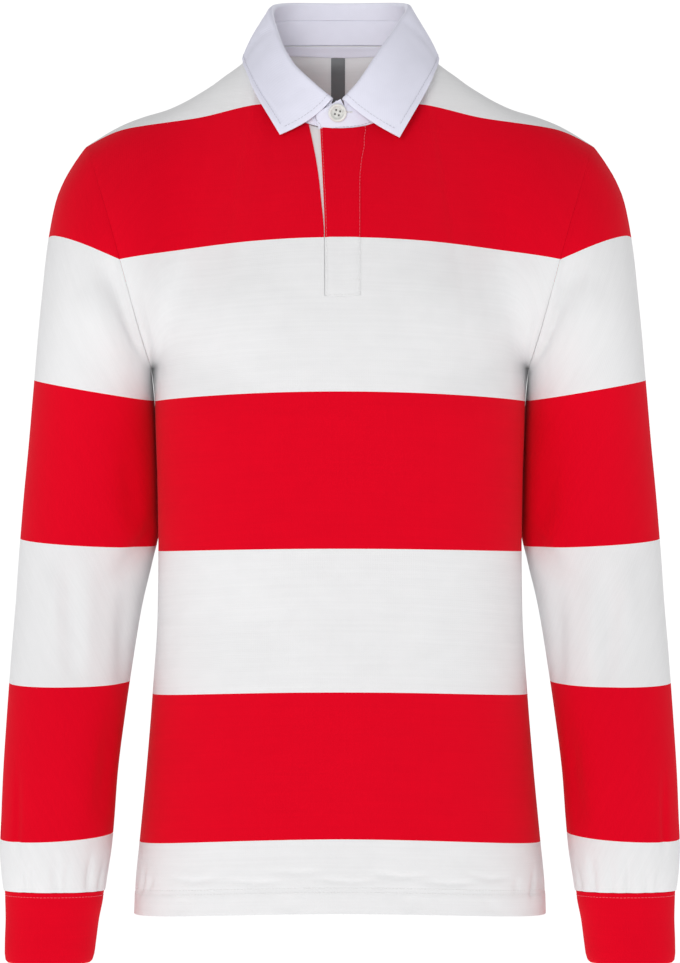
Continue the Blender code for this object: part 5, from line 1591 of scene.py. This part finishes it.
def split_by_stripe(paths, level):
    """Paths cut where they pass a level: what lies above it, and what lies below."""
    above, below = [], []
    for path in paths:
        high = path[0][:, 2] > level
        for chosen, kept in ((high, above), (~high, below)):
            if chosen.sum() > 1:
                kept.append(part_of(path, chosen))
    return above, below


def fly_paths():
    (points, facing), _ = fly_grids()
    points = points + facing * (FLY_PROUD - STITCH_DIP * 0.5)
    across, up = runs(points, 1), runs(points, 0)
    rows = np.arange(len(points))
    columns = np.arange(points.shape[1])
    top = len(points) - 1.6
    dense = np.linspace(0.2, top, 260)
    wander = np.interp(up[:, 0][-1] - np.interp(dense, rows, up[:, 0]), FLY_WANDER[0], FLY_WANDER[1])
    paths = []
    for edge, share in ((FLY_STITCH, 0.0), (-FLY_RIGHT_STITCH, 1.0)):
        distance = [np.interp(edge + share * run[-1], run, columns) for run in across]
        cols = np.interp(dense, rows, distance) + share * wander
        paths.append(on_grid(points, facing, dense, cols))
    left = np.interp(FLY_STITCH + 0.8, across[6], columns)
    right = np.interp(across[6][-1] - FLY_RIGHT_STITCH - 0.8, across[6], columns)
    for height in (FLY_BOX, FLY_FOOT):
        row = np.interp(height, up[:, 4], rows)
        paths.append(on_grid(points, facing, row, np.linspace(left, right, 60)))
    return paths


def nearest(points, line):
    """How near each point comes to the points of a line."""
    return np.linalg.norm(points[:, None] - line[None], axis=-1).min(axis=1)


def collar_paths():
    outer, inner, face, normal = collar_grids()
    down, across = runs(face, 0), runs(face, 1)
    rows, columns = np.arange(face.shape[0]), np.arange(face.shape[1])
    low = down[-1:] - down
    row = np.array([np.interp(-LEAF_STITCH, -low[:, k], rows) for k in columns])
    lower = on_grid(face, normal, row, columns.astype(float))
    kept, paths = True, []
    for edge, share, inset in ((0, 0, LEAF_STITCH), (-1, 1, -LEAF_STITCH)):
        leaf = rows[8:]
        col = np.array([np.interp(share * across[k, -1] + inset, across[k], columns) for k in leaf])
        end = on_grid(face, normal, leaf.astype(float), col)
        paths.append(part_of(end, nearest(end[0], face[-1]) > LEAF_STITCH - 0.3))
        kept = kept & (nearest(lower[0], face[:, edge]) > LEAF_STITCH - 0.3)
    paths.append(part_of(lower, kept))
    facing = unit(outer - inner)
    around = runs(outer, 1)
    cols = np.arange(outer.shape[1])
    last = np.interp(around[4, -1] - STAND_STITCH, around[4], cols)
    foot = on_grid(outer, facing, 0.9, np.linspace(last - 26, last, 80))
    end_rows = np.linspace(0.9, 7.2, 30)
    end_cols = np.array([
        np.interp(np.interp(r, np.arange(len(around)), around[:, -1]) - STAND_STITCH, around[int(r)], cols)
        for r in end_rows
    ])
    return [*paths, foot, on_grid(outer, facing, end_rows, end_cols)]


def cuff_paths():
    paths = []
    for creases, side in ((LEFT_CUFF_CREASES, 1), (RIGHT_CUFF_CREASES, -1)):
        points, normals = cuff_face(creases)
        row = float(np.interp(-CUFF_STITCH, -points[:, 0, 2], np.arange(len(points))))
        ring = on_grid(points, normals, row, np.linspace(0, points.shape[1] - 1.001, 500))
        paths.append(on_side(side, *ring))
    return paths


def make_stitching():
    sewing = bpy.context.scene.shirt_sewing
    size = sewing.stitch_length / MM, sewing.stitch_pitch / MM, sewing.thread / MM / 2
    on_red, on_white = split_by_stripe(fly_paths(), FLY_STRIPE)
    rows = (
        ("hem_coverstitch", hem_paths(), "white_thread", "white_jersey"),
        ("placket_topstitch_red", on_red, "red_thread", "red_jersey"),
        ("placket_topstitch_white", on_white, "white_thread", "white_jersey"),
        ("collar_topstitch", collar_paths(), "twill_thread", "white_twill"),
        ("cuff_topstitch", cuff_paths(), "red_thread", "red_jersey"),
    )
    for name, paths, thread, slot in rows:
        sewn(name, paths, finish(thread), *size, wander=STITCH_WANDER)


def make_button():
    """The button is the frame's own solid with a resin finish; its thread and buttonhole are added."""
    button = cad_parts["button"]
    button.data.materials.clear()
    button.data.materials.append(finish("white_resin"))
    outer, inner, _, _ = collar_grids()
    facing = unit(outer - inner)
    low, high = (np.array(corner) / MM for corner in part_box("button"))
    middle = (low + high) / 2
    apart = np.hypot(outer[..., 0] - high[0] - BUTTONHOLE_ASIDE, outer[..., 2] - middle[2])
    row, col = np.unravel_index(np.argmin(apart), apart.shape)
    start, way = outer[row, col], facing[row, col]
    aside = unit(np.cross(way, UP))
    aside = aside * np.sign(aside[0])

    def worked(reach, up):
        """A row of the buttonhole: ways aside from its middle, and ways up."""
        points = start + aside * np.reshape(reach, (-1, 1)) + UP * np.reshape(up, (-1, 1))
        return points, np.repeat(way[None], len(points), axis=0)

    ridges = [worked(np.linspace(*BUTTONHOLE_ENDS, 15), up) for up in (BUTTONHOLE_RIDGE, -BUTTONHOLE_RIDGE)]
    across = np.linspace(-BUTTONHOLE_BAR, BUTTONHOLE_BAR, 5)
    bars = [worked(reach, across) for reach in np.linspace(*BUTTONHOLE_ENDS, 12)]
    made = sewn("buttonhole", ridges + bars, finish("white_thread"), *BUTTONHOLE_THREAD)

    corners = np.array([button.matrix_world @ corner.co for corner in button.data.vertices]) / MM
    centred = corners - middle
    tilt = np.linalg.svd(centred - centred.mean(axis=0), full_matrices=False)[2][2]
    tilt = tilt * np.sign(tilt @ way)
    seat = middle + tilt * ((centred @ tilt).min() + BUTTON_DISH)
    level = unit(np.cross(UP, tilt))
    upright = np.cross(tilt, level)
    # The threads in the four holes are dark grey: painted shade, standing in for the shade deep in the holes.
    plugs = []
    for k in range(4):
        turn = BUTTON_TURN + k * math.pi / 2
        spot = seat + BUTTON_HOLE_REACH * (level * math.cos(turn) + upright * math.sin(turn))
        depths = np.linspace(-1.0, 0.0, 6)[:, None]
        plugs.append((spot + tilt * depths, np.repeat(upright[None], len(depths), axis=0)))
    sewn("button_thread", plugs, finish("hole_shade_thread"), *BUTTON_THREAD)


def make_studio():
    studio = bpy.context.scene.shirt_studio
    mesh = bpy.data.meshes.new("studio_floor")
    turn = np.linspace(0.0, 2 * math.pi, 96, endpoint=False)
    radius = studio.floor_radius
    rim = [(radius * math.cos(t), radius * math.sin(t), studio.floor_height) for t in turn]
    mesh.from_pydata(rim, [], [tuple(range(len(rim)))])
    mesh.materials.append(matt_paint("matt studio paint", studio.floor_colour, studio.floor_glow))
    placed("studio_floor", mesh)

    for name, place, size, power in STUDIO_LIGHTS:
        lamp = bpy.data.lights.new(name, "AREA")
        lamp.shape = "RECTANGLE"
        lamp.size, lamp.size_y = size
        lamp.energy = power * studio.light_level
        made = placed(name, lamp)
        made.location = place
        aim = Vector(LIGHT_AIM) - Vector(place)
        made.rotation_euler = aim.to_track_quat("-Z", "Y").to_euler()
        if name == "collar_light":  # it opens up the shade inside the neck and lights nothing else
            lit = bpy.data.collections.new("lit_by_collar_light")
            for piece in COLLAR_LIT:
                if piece in bpy.data.objects:
                    lit.objects.link(bpy.data.objects[piece])
            made.light_linking.receiver_collection = lit

    world = bpy.data.worlds.new("studio_air")
    world.use_nodes = True
    tree = world.node_tree
    soft = tree.nodes["Background"]
    soft.inputs["Color"].default_value = (1.0, 1.0, 1.0, 1.0)
    soft.inputs["Strength"].default_value = studio.air_light
    seen = add_node(tree, "ShaderNodeBackground", {}, {"Color": (1.0, 1.0, 1.0, 1.0), "Strength": SEEN_AIR})
    path = add_node(tree, "ShaderNodeLightPath")
    mixed = {0: path.outputs["Is Camera Ray"], 1: soft.outputs[0], 2: seen.outputs[0]}
    both = add_node(tree, "ShaderNodeMixShader", {}, mixed)
    tree.links.new(both.outputs[0], tree.nodes["World Output"].inputs["Surface"])
    bpy.context.scene.world = world

    lens = bpy.data.cameras.new("camera")
    lens.sensor_fit = "VERTICAL"
    lens.sensor_height = SENSOR_HEIGHT
    lens.lens = FOCAL_LENGTH
    lens.clip_end = 60.0
    camera = placed("camera", lens)
    camera.location = CAMERA_PLACE
    camera.rotation_euler = (math.radians(90), 0.0, 0.0)
    bpy.context.scene.camera = camera
    view = bpy.context.scene.view_settings
    view.view_transform = "Standard"
    view.look = "None"
    view.exposure = 0.0
    view.gamma = 1.0


# ---------------------------------------------------------------- the add-on


def colour_setting(name, description, colour):
    limits = {"subtype": "COLOR", "size": 3, "min": 0.0, "max": 1.0}
    return FloatVectorProperty(name=name, description=description, default=linear(colour), **limits)


def length_setting(name, description, default):
    return FloatProperty(name=name, description=description, unit="LENGTH", default=default)


class ShirtColours(bpy.types.PropertyGroup):
    """Colours of the shirt's cloth and trims."""

    red_cloth: colour_setting("Red", "Red stripes of the jersey, and the cuffs", "#E30321")
    white_cloth: colour_setting("White", "White stripes of the jersey", "#EEEEEF")
    twill: colour_setting("Twill", "Collar leaf, collar stand and neck tape", "#DFDFED")
    # Paler than the twill as painted light on the shaded inside of the neck.
    twill_painted_light: colour_setting("Twill, painted light", "Collar and neck tape where they face into the neck, paler as painted light", "#F1F1FE")
    label: colour_setting("Label", "Bare label in the back neck", "#75787A")
    button: colour_setting("Button", "Resin button", "#E6E6E2")
    thread: colour_setting("White thread", "Sewing thread on white cloth", "#F0F0F0")
    twill_thread: colour_setting("Collar thread", "Sewing thread on the collar", "#C9C9D4")
    # Dark grey as painted shade: the thread stands in for the shade deep in the button's holes.
    hole_shade_thread: colour_setting("Button thread", "Thread in the button's holes, dark grey as painted shade", "#5A5452")
    red_thread: colour_setting("Red thread", "Sewing thread on the cuffs", "#F0566A")


class ShirtSewing(bpy.types.PropertyGroup):
    """Sizes of the visible sewing."""

    stitch_length: length_setting("Stitch length", "Length of one visible stitch", 0.0024)
    stitch_pitch: length_setting("Stitch pitch", "Distance from one stitch to the next", 0.0030)
    thread: length_setting("Thread thickness", "Thickness of the sewing thread", 0.00045)


class ShirtStudio(bpy.types.PropertyGroup):
    """Floor and light."""

    floor_height: length_setting("Floor height", "Height of the floor", -1.2)
    floor_radius: length_setting("Floor radius", "Radius of the floor", 4.4)
    floor_glow: FloatProperty(
        name="Floor glow", description="Light that the pale floor gives back on its own", default=0.45
    )
    floor_colour: colour_setting("Floor", "Colour of the studio floor", "#F2F2F2")
    light_level: FloatProperty(name="Lights", description="Level of all the soft lights", default=1.0)
    air_light: FloatProperty(name="Air light", description="Level of the even light all round", default=0.47)


class Step:
    """A step of the making, as an operator runs it."""

    def execute(self, context):
        self.make()
        return {"FINISHED"}


class SHIRT_OT_body(Step, bpy.types.Operator):
    """Make the striped front and back, and the tape and label inside the back neck"""

    bl_idname = "shirt.body"
    bl_label = "Front and back"
    make = staticmethod(lambda: make_neck_inside(make_panels()))


class SHIRT_OT_sleeves(Step, bpy.types.Operator):
    """Make the two striped sleeves"""

    bl_idname = "shirt.sleeves"
    bl_label = "Sleeves"
    make = staticmethod(make_sleeves)


class SHIRT_OT_cuffs(Step, bpy.types.Operator):
    """Make the two red cuffs"""

    bl_idname = "shirt.cuffs"
    bl_label = "Cuffs"
    make = staticmethod(make_cuffs)


class SHIRT_OT_placket(Step, bpy.types.Operator):
    """Make the fly and the underlay of the placket"""

    bl_idname = "shirt.placket"
    bl_label = "Placket"
    make = staticmethod(make_placket)


class SHIRT_OT_collar(Step, bpy.types.Operator):
    """Make the collar's stand and leaf"""

    bl_idname = "shirt.collar"
    bl_label = "Collar"
    make = staticmethod(make_collar)


class SHIRT_OT_button(Step, bpy.types.Operator):
    """Finish the button and work its buttonhole"""

    bl_idname = "shirt.button"
    bl_label = "Button and buttonhole"
    make = staticmethod(make_button)


class SHIRT_OT_stitching(Step, bpy.types.Operator):
    """Sew the visible rows of stitches"""

    bl_idname = "shirt.stitching"
    bl_label = "Stitching"
    make = staticmethod(make_stitching)


class SHIRT_OT_studio(Step, bpy.types.Operator):
    """Set the floor, the lights, the air and the camera"""

    bl_idname = "shirt.studio"
    bl_label = "Studio"
    make = staticmethod(make_studio)


OPERATORS = (
    SHIRT_OT_body,
    SHIRT_OT_sleeves,
    SHIRT_OT_cuffs,
    SHIRT_OT_placket,
    SHIRT_OT_collar,
    SHIRT_OT_button,
    SHIRT_OT_stitching,
    SHIRT_OT_studio,
)


class VIEW3D_PT_shirt(bpy.types.Panel):
    """Lists the shirt's settings and the steps that make it"""

    bl_label = "Long-Sleeve Polo Shirt"
    bl_space_type = "VIEW_3D"
    bl_region_type = "UI"
    bl_category = "Shirt"

    def draw(self, context):
        scene = context.scene
        for group in (scene.shirt_colours, scene.shirt_sewing, scene.shirt_studio):
            box = self.layout.box()
            for name in group.bl_rna.properties.keys():
                if name not in ("rna_type", "name"):
                    box.prop(group, name)
        for operator in OPERATORS:
            self.layout.operator(operator.bl_idname)


GROUPS = (
    ("shirt_colours", ShirtColours),
    ("shirt_sewing", ShirtSewing),
    ("shirt_studio", ShirtStudio),
)


def register():
    for name, group in GROUPS:
        bpy.utils.register_class(group)
        setattr(bpy.types.Scene, name, PointerProperty(type=group))
    for operator in OPERATORS:
        bpy.utils.register_class(operator)
    bpy.utils.register_class(VIEW3D_PT_shirt)


def unregister():
    bpy.utils.unregister_class(VIEW3D_PT_shirt)
    for operator in reversed(OPERATORS):
        bpy.utils.unregister_class(operator)
    for name, group in reversed(GROUPS):
        delattr(bpy.types.Scene, name)
        bpy.utils.unregister_class(group)


def main():
    register()
    bpy.ops.shirt.body()
    bpy.ops.shirt.sleeves()
    bpy.ops.shirt.cuffs()
    bpy.ops.shirt.placket()
    bpy.ops.shirt.collar()
    bpy.ops.shirt.button()
    bpy.ops.shirt.stitching()
    bpy.ops.shirt.studio()


if __name__ == "__main__":
    main()
